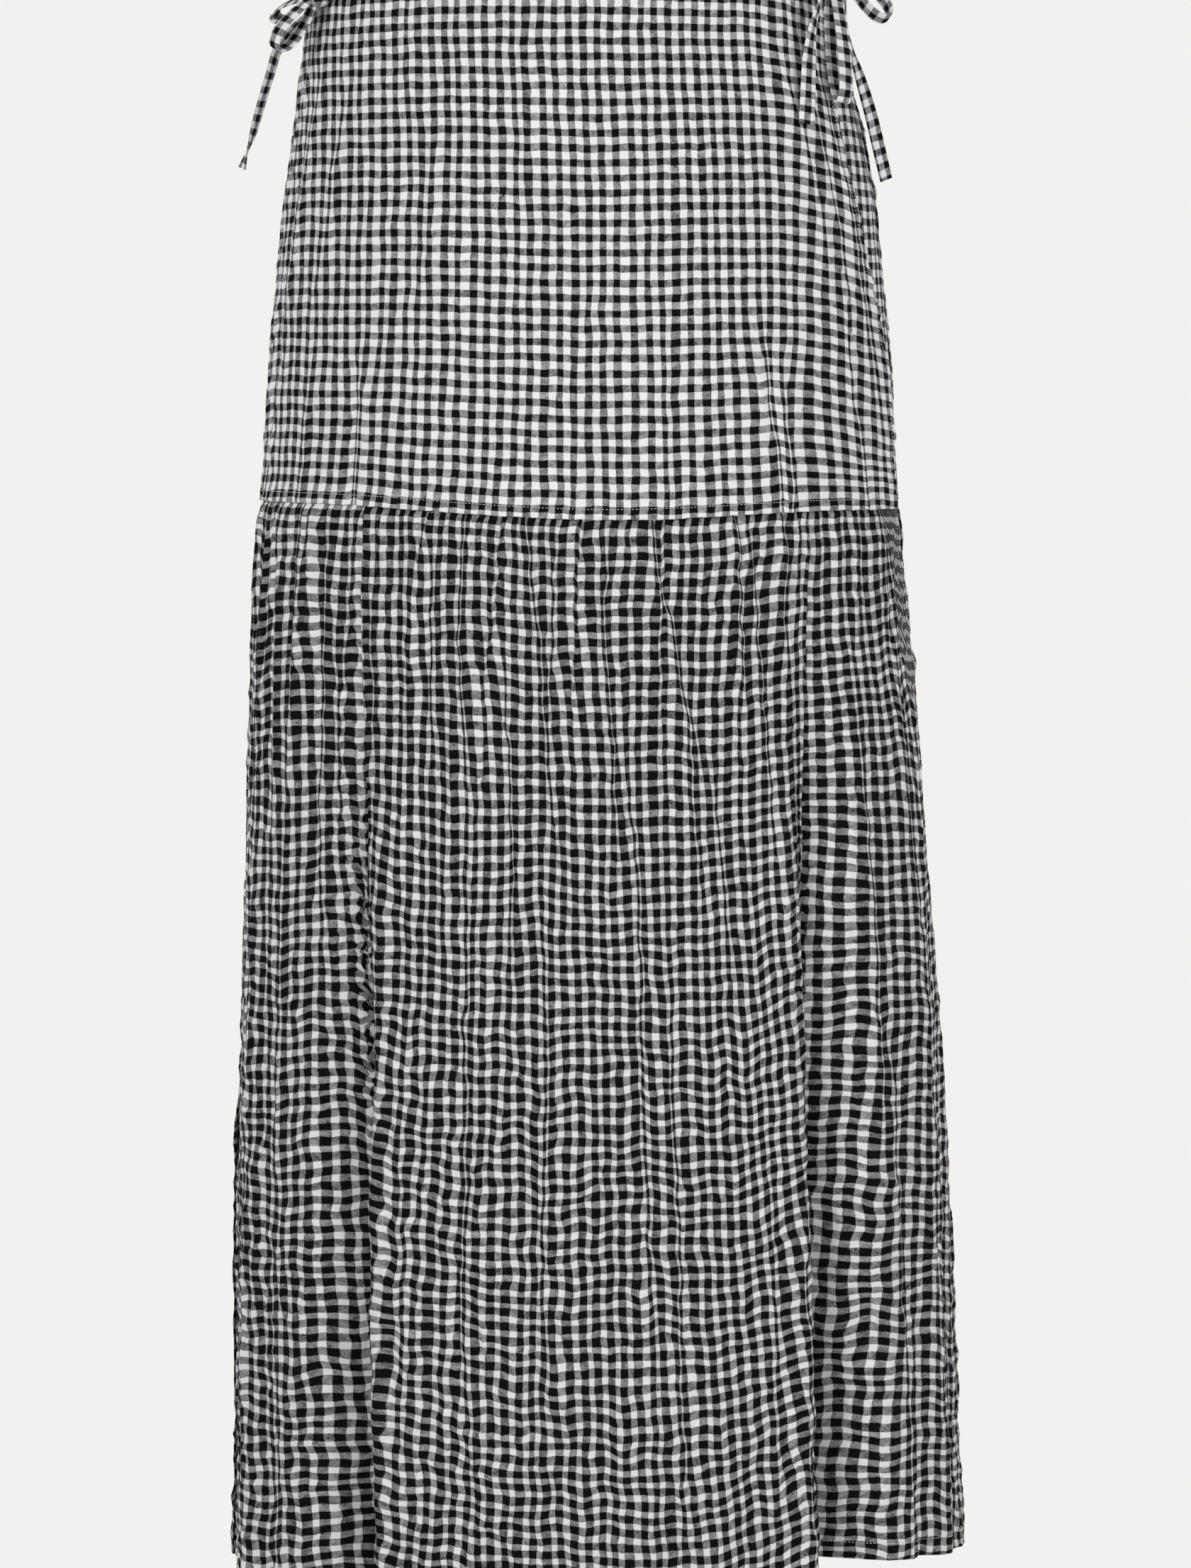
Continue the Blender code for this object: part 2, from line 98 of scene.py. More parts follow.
world = bpy.data.worlds.new("studio_paper")
world.use_nodes = True
bpy.context.scene.world = world
tree = world.node_tree
tree.nodes.clear()
shown = node(tree, "ShaderNodeBackground", {"Color": PAPER, "Strength": 1.0})
cast = node(tree, "ShaderNodeBackground", {"Color": DAYLIGHT, "Strength": AMBIENT})
seen_apart(tree, shown, cast, "ShaderNodeOutputWorld")

paper = bpy.data.materials.new("floor_paper")
paper.use_nodes = True
tree = paper.node_tree
tree.nodes.clear()
shown = node(tree, "ShaderNodeEmission", {"Color": PAPER, "Strength": 1.0})
cast = node(tree, "ShaderNodeBsdfDiffuse", {"Color": FLOOR_MATTE})
seen_apart(tree, shown, cast, "ShaderNodeOutputMaterial")
floor_mesh = bpy.data.meshes.new("floor")
corners = FLOOR_HALF * np.array([(-1, -1), (1, -1), (1, 1), (-1, 1)])
floor_mesh.from_pydata([(x, y, -FLOOR_DROP) for x, y in corners.tolist()], [], [(0, 1, 2, 3)])
floor_mesh.materials.append(paper)
floor = placed("floor", floor_mesh)

# Each light's place, size and power; all of them face one point
LIT_AT = Vector((0, 0, -0.45))
LIGHTS = {
    "key_left_front": ((-1.8, -2.6, 0.9), 1.2, 54.0),
    "fill_right_front": ((2.2, -2.0, 0.2), 1.4, 34.0),
    "rim_left_back": ((-1.8, 2.2, 0.2), 1.6, 16.0),
    "rim_right_back": ((1.8, 2.2, 0.2), 1.6, 16.0),
}
for name, (at, size, power) in LIGHTS.items():
    lamp = placed(name, bpy.data.lights.new(name, "AREA"))
    lamp.data.size = size
    lamp.data.energy = power
    lamp.location = at
    lamp.rotation_euler = (LIT_AT - Vector(at)).to_track_quat("-Z", "Y").to_euler()


# The hollow form that all the cloth follows: two half ellipses at each level, pressed in along
# the tier's folds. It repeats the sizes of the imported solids, so that each sheet lies on its own.
def table(names, *rows):
    """A table with named columns, as a dictionary of arrays."""
    return dict(zip(names.split(), np.array(rows, float).T))


# The waistband's depth and how far it stands proud, and the gap between two pieces
BAND_DEEP = 0.040
BAND_PROUD = 0.0006
GAP = 0.0003
# Each level of the form: the middle, half the width, and the depths in front and behind
FORM = table(
    "drop   centre  half    front   back",
    (0.000, -0.003, 0.1440, 0.1010, 0.0960),
    (0.040, -0.003, 0.1510, 0.1070, 0.1030),
    (0.080, -0.003, 0.1572, 0.1155, 0.1130),
    (0.120, -0.001, 0.1642, 0.1225, 0.1240),
    (0.160, 0.000, 0.1710, 0.1280, 0.1320),
    (0.210, 0.000, 0.1765, 0.1330, 0.1380),
    (0.260, 0.000, 0.1810, 0.1375, 0.1415),
    (0.335, 0.000, 0.1862, 0.1420, 0.1445),
    (0.400, -0.001, 0.1895, 0.1450, 0.1470),
    (0.510, 0.001, 0.1960, 0.1500, 0.1510),
    (0.650, 0.004, 0.2038, 0.1560, 0.1570),
    (0.780, 0.005, 0.2096, 0.1610, 0.1620),
    (0.900, 0.008, 0.2130, 0.1650, 0.1660),
    (0.970, 0.009, 0.2165, 0.1670, 0.1680),
)
SEAM = table(
    "turn  drop",
    (-90, 0.3350),
    (-43, 0.3340),
    (5, 0.3405),
    (43, 0.3373),
    (75, 0.3385),
    (105, 0.3380),
    (180, 0.3370),
    (270, 0.3350),
)
HEM = table(
    "turn  drop",
    (-90, 0.9670),
    (-62, 0.9640),
    (-41, 0.9500),
    (-28, 0.9600),
    (0, 0.9650),
    (28, 0.9600),
    (43, 0.9420),
    (60, 0.9470),
    (90, 0.9600),
    (106, 0.9610),
    (137, 0.9520),
    (180, 0.9640),
    (223, 0.9530),
    (270, 0.9670),
)
# The turns of the back's two edges, of the hidden front's end, and of the wrap's free edge
LEFT_SIDE = -90.0
RIGHT_SIDE = 92.0
UNDER_END = -84.0
FREE_EDGE = table(
    "drop  turn",
    (0.000, 66.0),
    (0.040, 64.5),
    (0.100, 63.5),
    (0.134, 63.0),
    (0.180, 65.3),
    (0.227, 69.9),
    (0.262, 74.2),
    (0.300, 73.6),
    (0.335, 73.0),
    (0.358, 75.2),
    (0.389, 77.6),
    (0.416, 81.0),
    (0.448, 88.0),
    (0.543, 97.0),
    (0.700, 102.0),
    (0.970, 105.0),
)
# How far the outer and the hidden front stand off the form
OUTER_LAYER = table("turn  off", (-90, 0.0), (-30, 0.0016), (30, 0.0024), (110, 0.0024))
UNDER_LAYER = table("turn  off", (-90, -0.0052), (-20, -0.0046), (60, -0.0014), (92, 0.0))
# The tier's folds: turns at the seam and the hem, half width, depth and lean at the hem, and the
# drop at which each starts. The hidden front has the same ones, wider and a little deeper.
FOLDS = table(
    "top  hem     width   depth    lean     starts",
    (-83, -83, 0.0150, 0.0070, 0.0000, 0.45),
    (-62, -63, 0.0130, 0.0060, 0.0000, 0.40),
    (-40.4, -41.6, 0.0140, 0.0500, 0.0200, 0.36),
    (-24, -25, 0.0200, 0.0030, 0.0000, 0.45),
    (-8, -9, 0.0220, 0.0040, 0.0000, 0.40),
    (10, 9, 0.0200, 0.0030, 0.0000, 0.50),
    (25, 26, 0.0200, 0.0040, 0.0000, 0.42),
    (42.6, 43.4, 0.0145, 0.0560, -0.0215, 0.36),
    (62, 62, 0.0130, 0.0060, 0.0000, 0.40),
    (79, 79, 0.0150, 0.0060, 0.0000, 0.50),
    (119, 120, 0.0200, 0.0160, 0.0000, 0.42),
    (137, 137, 0.0170, 0.0420, 0.0110, 0.36),
    (158, 159, 0.0220, 0.0150, 0.0000, 0.40),
    (180, 181, 0.0240, 0.0220, 0.0000, 0.38),
    (203, 202, 0.0210, 0.0130, 0.0000, 0.45),
    (223, 223, 0.0170, 0.0440, -0.0110, 0.36),
    (244, 243, 0.0200, 0.0180, 0.0000, 0.40),
)
# The power by which a fold grows downwards, and how much wider and deeper the hidden ones are
FOLD_GROWTH = 1.15
UNDER_WIDER = 1.6
UNDER_DEEPER = 1.08
# The folds in which the tier's panels are joined, and the drop at which panels are measured
LEFT_FOLD = 2
RIGHT_FOLD = 7
BACK_RIGHT_FOLD = 11
BACK_LEFT_FOLD = 15
LOW = 0.85
# The small steps by which slopes are measured
STEP_TURN = 0.05
STEP_DROP = 0.0005


def along(place, places, values):
    """The value at a place on a smooth curve through a table's rows: Hermite pieces."""
    slopes = np.gradient(values, places)
    place = np.clip(place, places[0], places[-1])
    i = np.clip(np.searchsorted(places, place, side="right") - 1, 0, len(places) - 2)
    span = places[i + 1] - places[i]
    t = (place - places[i]) / span
    start = (2 * t**3 - 3 * t**2 + 1) * values[i] + (t**3 - 2 * t**2 + t) * span * slopes[i]
    end = (3 * t**2 - 2 * t**3) * values[i + 1] + (t**3 - t**2) * span * slopes[i + 1]
    return start + end


def seam_drop(turn):
    """The drop of the seam between yoke and tier, round the waist."""
    return along(turn, SEAM["turn"], SEAM["drop"])


def hem_drop(turn):
    """The drop of the hem, round the waist."""
    return along(turn, HEM["turn"], HEM["drop"])


def edge_turn(drop):
    """The turn of the wrap's free edge at a drop."""
    return along(drop, FREE_EDGE["drop"], FREE_EDGE["turn"])


def fold_turn(fold, drop):
    """The turn of one fold's middle, which drifts evenly from the seam to the hem."""
    down = np.clip((drop - SEAM["drop"][0]) / (HEM["drop"][0] - SEAM["drop"][0]), 0, 1)
    return FOLDS["top"][fold] + (FOLDS["hem"][fold] - FOLDS["top"][fold]) * down


def form(turn, drop, off=0.0, under=False):
    """Half ellipses at each level, less a bell-shaped dip along each fold that grows downwards."""
    centre, half, front, back = (
        along(drop, FORM["drop"], FORM[name]) for name in ("centre", "half", "front", "back")
    )
    deep = np.where(np.cos(np.radians(turn)) > 0, front, back)
    wider, deeper = (UNDER_WIDER, UNDER_DEEPER) if under else (1.0, 1.0)
    inward = np.zeros(np.broadcast(turn, drop).shape) - off
    aside = np.zeros_like(inward)
    reach = np.hypot(half * np.cos(np.radians(turn)), deep * np.sin(np.radians(turn)))
    for k, starts in enumerate(FOLDS["starts"]):
        grown = np.clip((drop - starts) / (HEM["drop"][0] - starts), 0, None) ** FOLD_GROWTH
        away = np.radians(turn - fold_turn(k, drop)) * reach / (FOLDS["width"][k] * wider)
        dip = np.exp(-(away**2)) * grown
        inward = inward + FOLDS["depth"][k] * deeper * dip
        aside = aside + FOLDS["lean"][k] * dip
    t = np.radians(turn) + aside / reach
    x = centre + (half - inward) * np.sin(t)
    y = -(deep - inward) * np.cos(t)
    return np.stack([x, y, -drop + 0 * x], -1)


def unit(vectors):
    """Vectors made one long."""
    return vectors / np.linalg.norm(vectors, axis=-1, keepdims=True)


def outward(turn, drop, off=0.0, under=False):
    """The form's normal: small steps across and up, crossed."""
    across = form(turn + STEP_TURN, drop, off, under) - form(turn - STEP_TURN, drop, off, under)
    up = form(turn, drop - STEP_DROP, off, under) - form(turn, drop + STEP_DROP, off, under)
    return unit(np.cross(across, up))


def stride(turn, drop, under=False):
    """Metres along the form for one degree of turn."""
    step = form(turn + STEP_TURN, drop, 0.0, under) - form(turn - STEP_TURN, drop, 0.0, under)
    return np.linalg.norm(step, axis=-1) / (2 * STEP_TURN)


# Gingham cotton: a thin, crinkled plain weave in black and white yarn, with even checks of about
# 8.4 mm. Where black crosses white the two yarns mix to a speckled grey.
CHECK = 0.0084
YARNS = 21.0
BLACK_YARN = (0.0048, 0.0042, 0.0048, 1.0)
WHITE_YARN = (0.83, 0.82, 0.845, 1.0)
# How strongly the grey is speckled by yarns and by checks, and all of it clouded
GREY_BY_YARN = 0.95
GREY_BY_CHECK = 0.50
ALL_BY_YARN = 0.05
CLOUDED = 0.10
WEAVE_HIGH = 0.05
FINE_HIGH = 0.16
# How much more the checks wobble, and higher the bump is in metres, where the cloth is crumpled
CRUMPLED_WOBBLE = 2.6
CRUMPLED_HIGH = 0.0045

gingham = bpy.data.node_groups.new("gingham_checks", "ShaderNodeTree")
for name, way, kind in (
    ("Checks", "INPUT", "NodeSocketVector"),
    ("Wobble", "INPUT", "NodeSocketFloat"),
    ("Softness", "INPUT", "NodeSocketFloat"),
    ("Edge", "INPUT", "NodeSocketFloat"),
    ("Grey", "INPUT", "NodeSocketFloat"),
    ("Colour", "OUTPUT", "NodeSocketColor"),
    ("Relief", "OUTPUT", "NodeSocketFloat"),
    ("Roughness", "OUTPUT", "NodeSocketFloat"),
):
    gingham.interface.new_socket(name=name, in_out=way, socket_type=kind)
entry = node(gingham, "NodeGroupInput")


def maths(operation, a, b=0.0, c=0.0):
    """The output of one sum in the gingham group."""
    return node(gingham, "ShaderNodeMath", {0: a, 1: b, 2: c}, operation=operation).outputs[0]


def vectors(operation, a, b):
    """The output of one sum of vectors in the gingham group; b is a number where it scales."""
    second = "Scale" if operation == "SCALE" else 1
    return node(gingham, "ShaderNodeVectorMath", {0: a, second: b}, operation=operation).outputs[0]


def speckle(scale, detail, rough=0.5, stretch=(1.0, 1.0, 1.0), output="Fac"):
    """Noise over the checks, drawn out along one yarn or the other by stretch."""
    made = node(
        gingham,
        "ShaderNodeTexNoise",
        {
            "Vector": vectors("MULTIPLY", entry.outputs["Checks"], stretch),
            "Scale": scale,
            "Detail": detail,
            "Roughness": rough,
        },
        noise_dimensions="2D",
    )
    return made.outputs[output]


def about(noise, high, middle):
    """Noise as strong as high, about a middle value."""
    return maths("MULTIPLY_ADD", maths("SUBTRACT", noise, 0.5), high, middle)


shift = vectors("SUBTRACT", speckle(1.15, 1.0, output="Color"), (0.5, 0.5, 0.5))
shift = vectors("SCALE", shift, entry.outputs["Wobble"])
axes = node(gingham, "ShaderNodeSeparateXYZ", {0: vectors("ADD", entry.outputs["Checks"], shift)})
dark = []
for axis in (0, 1):
    back_and_forth = maths("PINGPONG", maths("SUBTRACT", axes.outputs[axis], 0.25), 0.5)
    soft_edge = node(
        gingham,
        "ShaderNodeMapRange",
        {
            "Value": back_and_forth,
            "From Min": maths("SUBTRACT", entry.outputs["Edge"], entry.outputs["Softness"]),
            "From Max": maths("ADD", entry.outputs["Edge"], entry.outputs["Softness"]),
        },
        interpolation_type="SMOOTHSTEP",
    )
    dark.append(soft_edge.outputs[0])
both_dark = maths("MULTIPLY", dark[0], dark[1])
one_dark = maths("SUBTRACT", maths("ADD", dark[0], dark[1]), maths("MULTIPLY", both_dark, 2.0))
upright = speckle(1.0, 2.0, 0.6, (20.0, 4.5, 1.0))
level = speckle(1.0, 2.0, 0.6, (4.5, 20.0, 1.0))
yarn_mix = maths("ADD", maths("MULTIPLY", upright, 0.5), maths("MULTIPLY", level, 0.5))
grey = about(yarn_mix, GREY_BY_YARN, entry.outputs["Grey"])
grey = about(speckle(1.4, 1.0), GREY_BY_CHECK, grey)
share = about(yarn_mix, ALL_BY_YARN, maths("MULTIPLY_ADD", one_dark, grey, both_dark))
share = node(gingham, "ShaderNodeClamp", {0: share}).outputs[0]
yarns = {"Factor": share, "A": WHITE_YARN, "B": BLACK_YARN}
colour = node(gingham, "ShaderNodeMix", yarns, data_type="RGBA").outputs["Result"]
over = node(gingham, "ShaderNodeSeparateXYZ", {0: entry.outputs["Checks"]})
warp, weft = (maths("SINE", maths("MULTIPLY", over.outputs[k], 2 * np.pi * YARNS)) for k in (0, 1))
weave = maths("MULTIPLY", maths("MULTIPLY", warp, weft), WEAVE_HIGH)
crinkle = speckle(0.9, 2.0, 0.55, (1.6, 0.7, 1.0))
fine = maths("MULTIPLY", speckle(5.0, 2.0, 0.5), FINE_HIGH)
node(gingham, "NodeGroupOutput", {
    "Colour": vectors("SCALE", colour, about(speckle(0.35, 2.0), CLOUDED, 1.0)),
    "Relief": maths("ADD", maths("ADD", weave, crinkle), fine),
    "Roughness": maths("MULTIPLY_ADD", yarn_mix, 0.12, 0.82),
})


def new_material(name, glint):
    """A material with one shader of a given specular level, and its parts."""
    made = bpy.data.materials.new(name)
    made.use_nodes = True
    shader = made.node_tree.nodes["Principled BSDF"]
    shader.inputs["Specular IOR Level"].default_value = glint
    return made, made.node_tree, shader


def finished(tree, shader, colour, roughness, bump):
    """A material's colour, roughness and bump led into its shader."""
    tree.links.new(colour, shader.inputs["Base Color"])
    tree.links.new(roughness, shader.inputs["Roughness"])
    tree.links.new(bump.outputs[0], shader.inputs["Normal"])


def gingham_cloth(name, wobble=0.12, softness=0.035, crinkle_high=0.0005, edge=0.25, grey=0.70):
    """Gingham on a piece's own map of checks, with its weave and crinkles as a bump, both stronger
    where the cloth is crumpled. The edge of the dark stripes lies that far from their middles, in
    checks, and grey is the grey's darkness."""
    made, tree, shader = new_material(name, 0.04)
    checks = node(tree, "ShaderNodeUVMap", uv_map="checks").outputs[0]
    crumpled = node(tree, "ShaderNodeAttribute", attribute_name="crumpled").outputs["Fac"]
    wobbles = {0: crumpled, 1: CRUMPLED_WOBBLE, 2: wobble}
    wobbles = node(tree, "ShaderNodeMath", wobbles, operation="MULTIPLY_ADD").outputs[0]
    high = {0: crumpled, 1: CRUMPLED_HIGH, 2: crinkle_high}
    high = node(tree, "ShaderNodeMath", high, operation="MULTIPLY_ADD").outputs[0]
    values = {"Checks": checks, "Wobble": wobbles, "Softness": softness, "Edge": edge, "Grey": grey}
    pattern = node(tree, "ShaderNodeGroup", values, node_tree=gingham).outputs
    raised = {"Strength": 1.0, "Distance": high, "Height": pattern["Relief"]}
    bump = node(tree, "ShaderNodeBump", raised)
    finished(tree, shader, pattern["Colour"], pattern["Roughness"], bump)
    return made


cotton = gingham_cloth("gingham_cotton")
# The tier's cotton: stronger wobble and crinkle bump for the gathers. It also has painted shade: the
# dark stripes are drawn wider and the grey darker to stand in for the shade among the gathers,
# though the cloth is the same.
gathered_cotton_painted_shade = gingham_cloth(
    "gingham_cotton_gathered_painted_shade", wobble=0.16, crinkle_high=0.0010, edge=0.216, grey=0.735
)


# Topstitching: rows of short stitches in white thread over every sewn edge: above the seam at the
# hip, along the free edge, round the hem, and along the waistband.
STITCH_LONG = 0.0014
STITCH_PITCH = 0.0021
STITCH_AHEAD = 0.0003
THREAD_ROUND = 0.00021
THREAD_TWIST = 900.0

thread, tree, shader = new_material("white_thread", 0.25)
place = node(tree, "ShaderNodeTexCoord").outputs["Object"]
twist = node(tree, "ShaderNodeTexNoise", {"Vector": place, "Scale": THREAD_TWIST, "Detail": 1.0})
twist = twist.outputs["Fac"]
ramp, dull = (
    node(tree, "ShaderNodeMapRange", {"Value": twist, "To Min": least, "To Max": most}).outputs[0]
    for least, most in ((0.70, 0.86), (0.6, 0.8))
)
shade = node(tree, "ShaderNodeCombineColor", {0: ramp, 1: ramp, 2: ramp}).outputs[0]
bump = node(tree, "ShaderNodeBump", {"Strength": 0.5, "Distance": 0.0001, "Height": twist})
finished(tree, shader, shade, dull, bump)


def one_stitch():
    """Corners and faces of one stitch, along x with z outwards: three square rings that arch over
    the cloth, and a tip at each end that dips into it."""
    rings = []
    for x, wide, lift in ((-0.34, 0.8, 0.45), (0.0, 1.0, 0.75), (0.34, 0.8, 0.45)):
        turns = np.radians([45, 135, 225, 315])
        rings.append(np.stack([
            0 * turns + x * STITCH_LONG,
            np.cos(turns) * wide * THREAD_ROUND,
            (np.sin(turns) * wide + lift) * THREAD_ROUND,
        ], 1))
    tips = np.array([(way * 0.5 * STITCH_LONG, 0, -THREAD_ROUND) for way in (-1, 1)])
    faces = []
    for k in range(4):
        n = (k + 1) % 4
        faces += [(12, n, k, k), (k, n, 4 + n, 4 + k), (4 + k, 4 + n, 8 + n, 8 + k)]
        faces.append((13, 8 + k, 8 + n, 8 + n))
    return np.concatenate([*rings, tips]), np.array(faces)


STITCH_CORNERS, STITCH_FACES = one_stitch()


def walked(points, axis):
    """Metres over the cloth from the first line of a grid, across or down: the summed steps."""
    steps = np.linalg.norm(np.diff(points, axis=axis), axis=-1)
    return np.cumsum(np.insert(steps, 0, 0.0, axis=axis), axis=axis)


def sampled(at, steps, values):
    """Vectors along a line, read between its steps at some lengths."""
    return np.stack([np.interp(at, steps, values[:, k]) for k in range(3)], 1)


def stitch_line(points, normals):
    """Stitches laid end to end with gaps along a line on the cloth: their corners, line by line."""
    steps = walked(points, 0)
    at = np.arange(STITCH_PITCH, steps[-1] - STITCH_PITCH, STITCH_PITCH)
    middle = sampled(at, steps, points)
    ahead = unit(sampled(at + STITCH_AHEAD, steps, points) - middle)
    up = sampled(at, steps, normals)
    up = unit(up - (up * ahead).sum(1, keepdims=True) * ahead)
    x, y, z = (STITCH_CORNERS[:, k, None] for k in range(3))
    return middle[:, None] + x * ahead[:, None] + y * np.cross(up, ahead)[:, None] + z * up[:, None]


def surface(name, points, faces, material, places=None, flat=0):
    """A piece from points and faces, smooth but for its last few, with a place in checks for each
    corner of each face."""
    mesh = bpy.data.meshes.new(name)
    mesh.from_pydata(points.reshape(-1, 3).tolist(), [], faces)
    if places is not None:
        layer = mesh.uv_layers.new(name="checks")
        layer.data.foreach_set("uv", places.astype(np.float32).ravel())
    mesh.polygons.foreach_set("use_smooth", np.arange(len(faces)) < len(faces) - flat)
    mesh.materials.append(material)
    return placed(name, mesh)


def stitching(name, lines):
    """One piece of topstitching from several lines on the cloth, each points and normals."""
    corners = np.concatenate([stitch_line(*line) for line in lines])
    first = len(STITCH_CORNERS) * np.arange(len(corners))
    faces = (STITCH_FACES[None] + first[:, None, None]).reshape(-1, 4)
    faces = [face[:3] if face[3] == face[2] else face for face in faces.tolist()]
    piece = surface(name, corners, faces, thread)
    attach(piece, "root")
    return piece


# Yoke: the smooth upper skirt, from the waistband to the seam at the hip. It is cut in an outer
# front that wraps over, a back, and the front that lies beneath; its edges are turned in.
# The round of a folded edge, and what is turned in at a seam and at the wrap's free edge
FOLD_ROUND = 0.0005
ALLOWANCE = 0.004
EDGE_HEM = 0.0055
# The yoke's rows of checks, its mean radius, what is turned in at its foot, and how far above
# the seam it is stitched
YOKE_ROWS = 35.8
YOKE_RADIUS = 0.16
YOKE_LOWER_EDGE = 0.007
STITCH_UP = 0.006
# Relief is lifted by this much, and what still dips below its layer is cut off
CLEAR = 0.0008


def smooth(t):
    """Nought to one with soft ends: a smoothstep."""
    t = np.clip(t, 0, 1)
    return t * t * (3 - 2 * t)


def bell(t):
    """A bell: 1 in the middle, and almost nought at two half widths."""
    return np.exp(-(t**2))


def ripple(across, down, seed):
    """Value noise from -1 to 1: a seeded, wrapped lattice of numbers, joined by smoothsteps."""
    lattice = np.random.default_rng(seed).uniform(-1, 1, (64, 64))
    across, down = np.broadcast_arrays(across, down)
    i, j = np.floor(across).astype(int), np.floor(down).astype(int)
    s, t = smooth(across - i), smooth(down - j)
    near = lattice[i % 64, j % 64] * (1 - s) + lattice[(i + 1) % 64, j % 64] * s
    far = lattice[i % 64, (j + 1) % 64] * (1 - s) + lattice[(i + 1) % 64, (j + 1) % 64] * s
    return near * (1 - t) + far * t


def ridged(across, down, seed):
    """Thin winding crests from 0 to 1: high where a ripple passes through nought."""
    return (1 - np.abs(ripple(across, down, seed))) ** 3


def from_side(turn):
    """Degrees from the nearer side of the waist."""
    return np.abs((turn + 180) % 180 - 90)


def to_edge(turn, drop):
    """Metres over the form to the wrap's free edge."""
    return (edge_turn(drop) - turn) * stride(turn, drop)


def outer_off(turn):
    """How far the outer front stands off the form."""
    return along(turn, OUTER_LAYER["turn"], OUTER_LAYER["off"])


def under_off(turn):
    """How far the front beneath stands off the form: it is drawn in."""
    return along(turn, UNDER_LAYER["turn"], UNDER_LAYER["off"])


def back_off(turn):
    """The back lies on the form."""
    return 0 * turn


def fixed(turn):
    """An edge at one turn, or one drop, all along."""
    return lambda drop: turn + 0 * drop


def fold_line(fold):
    """An edge along one fold's middle, slightly uneven."""
    return lambda drop: fold_turn(fold, drop) + 0.28 * ripple(drop / 0.0075, 0.4 + fold, 23)


def panel_grid(start, end, shares, rows, top, bottom, under=False, runs_under=(0.0, 0.0)):
    """Turns and drops between a piece's edges, each kept half a gap and a fold's round away, or
    run on a little under the next panel."""
    middle = 0.5 * (start(LOW) + end(LOW))
    turn = middle + 0 * shares[:, None] * rows[None, :]
    inset = [0.5 * GAP + FOLD_ROUND - run for run in runs_under]
    for _ in range(3):
        drop = top(turn) + (bottom(turn) - top(turn)) * rows[None, :]
        first = start(drop) + inset[0] / stride(start(drop), drop, under)
        last = end(drop) - inset[1] / stride(end(drop), drop, under)
        turn = first + (last - first) * shares[:, None]
    return turn, drop


# A crease's turn, its two drops, its lean in degrees, its depth and half width, and the checks it
# takes. It stands out where its depth is above nought.
CREASES = "turn top bottom lean depth wide takes"
CREASES_DRAWN = 0.75
CHECKS_TAKEN = 0.5
GIVEN_BACK = 0.024


def stray(k, drop, high, long, short, seeds):
    """How far crease number k strays from its line, in degrees: a long ripple and a short one."""
    broad = ripple(drop / long, 0.61 + 3 * k, seeds[0])
    return high * broad + 0.5 * ripple(drop / short, 0.3 + 5 * k, seeds[1])


def crease_marks(creases, turn, drop, seed):
    """Relief in metres and checks taken up by a table of creases. Each runs from its top to its
    bottom with a lean and a slight wander, fades at both ends, and is a bell across; the checks
    it takes are cut short there, and given back by wider columns on both sides."""
    metres = stride(turn, drop)
    relief, taken = np.zeros(turn.shape), np.zeros(turn.shape)
    for k, (at, top, bottom, lean, depth, wide, takes) in enumerate(zip(*creases.values())):
        down = (drop - top) / (bottom - top)
        fade = smooth(down / 0.3) * smooth((1 - down) / 0.4)
        line = at + lean * np.clip(down, 0, 1) + stray(k, drop, 0.9, 0.045, 0.012, (seed, seed))
        away = (turn - line) * metres / wide
        relief += CREASES_DRAWN * depth * fade * bell(away)
        given = np.tanh(2.6 * away) - np.tanh(away * wide / GIVEN_BACK)
        taken += CHECKS_TAKEN * takes * fade * given
    return relief, taken


def past_edges(count, before, after):
    """For each line of a sheet, the grid line it belongs to and how far past the edge it lies,
    where the cloth beyond the first and last line is turned in by the two lengths."""
    bend = FOLD_ROUND * np.pi * np.array([0.33, 0.67, 1.0])
    steps = np.array([0.5, 1.0])
    first, last = (np.concatenate([bend, bend[-1] + length * steps]) for length in (before, after))
    index = np.clip(np.arange(count + len(first) + len(last)) - len(first), 0, count - 1)
    return index, np.concatenate([-first[::-1], np.zeros(count), last])


def turned(past):
    """Where cloth past a folded edge lies: round a half circle, then straight back behind."""
    bend = np.clip(np.abs(past) / FOLD_ROUND, 0, np.pi)
    back = np.maximum(np.abs(past) - np.pi * FOLD_ROUND, 0)
    return np.sign(past) * (FOLD_ROUND * np.sin(bend) - back), FOLD_ROUND * (1 - np.cos(bend))


def quads(v):
    """The four corners of each cell of a numbered grid of points."""
    return np.stack([v[:-1, :-1], v[:-1, 1:], v[1:, 1:], v[1:, :-1]], -1).reshape(-1, 4)


def on_skin(skin, turn, drop, inward=0.0):
    """Points of a layer's outer face, sunk by a depth: its form plus its relief along the normal."""
    off, relief, under = skin(turn, drop)
    raised = outward(turn, drop, off, under) * (relief - inward)[..., None]
    return form(turn, drop, off, under) + raised


def dressed(piece, solid):
    """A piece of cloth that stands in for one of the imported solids."""
    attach(piece, "root")
    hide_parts(solid)


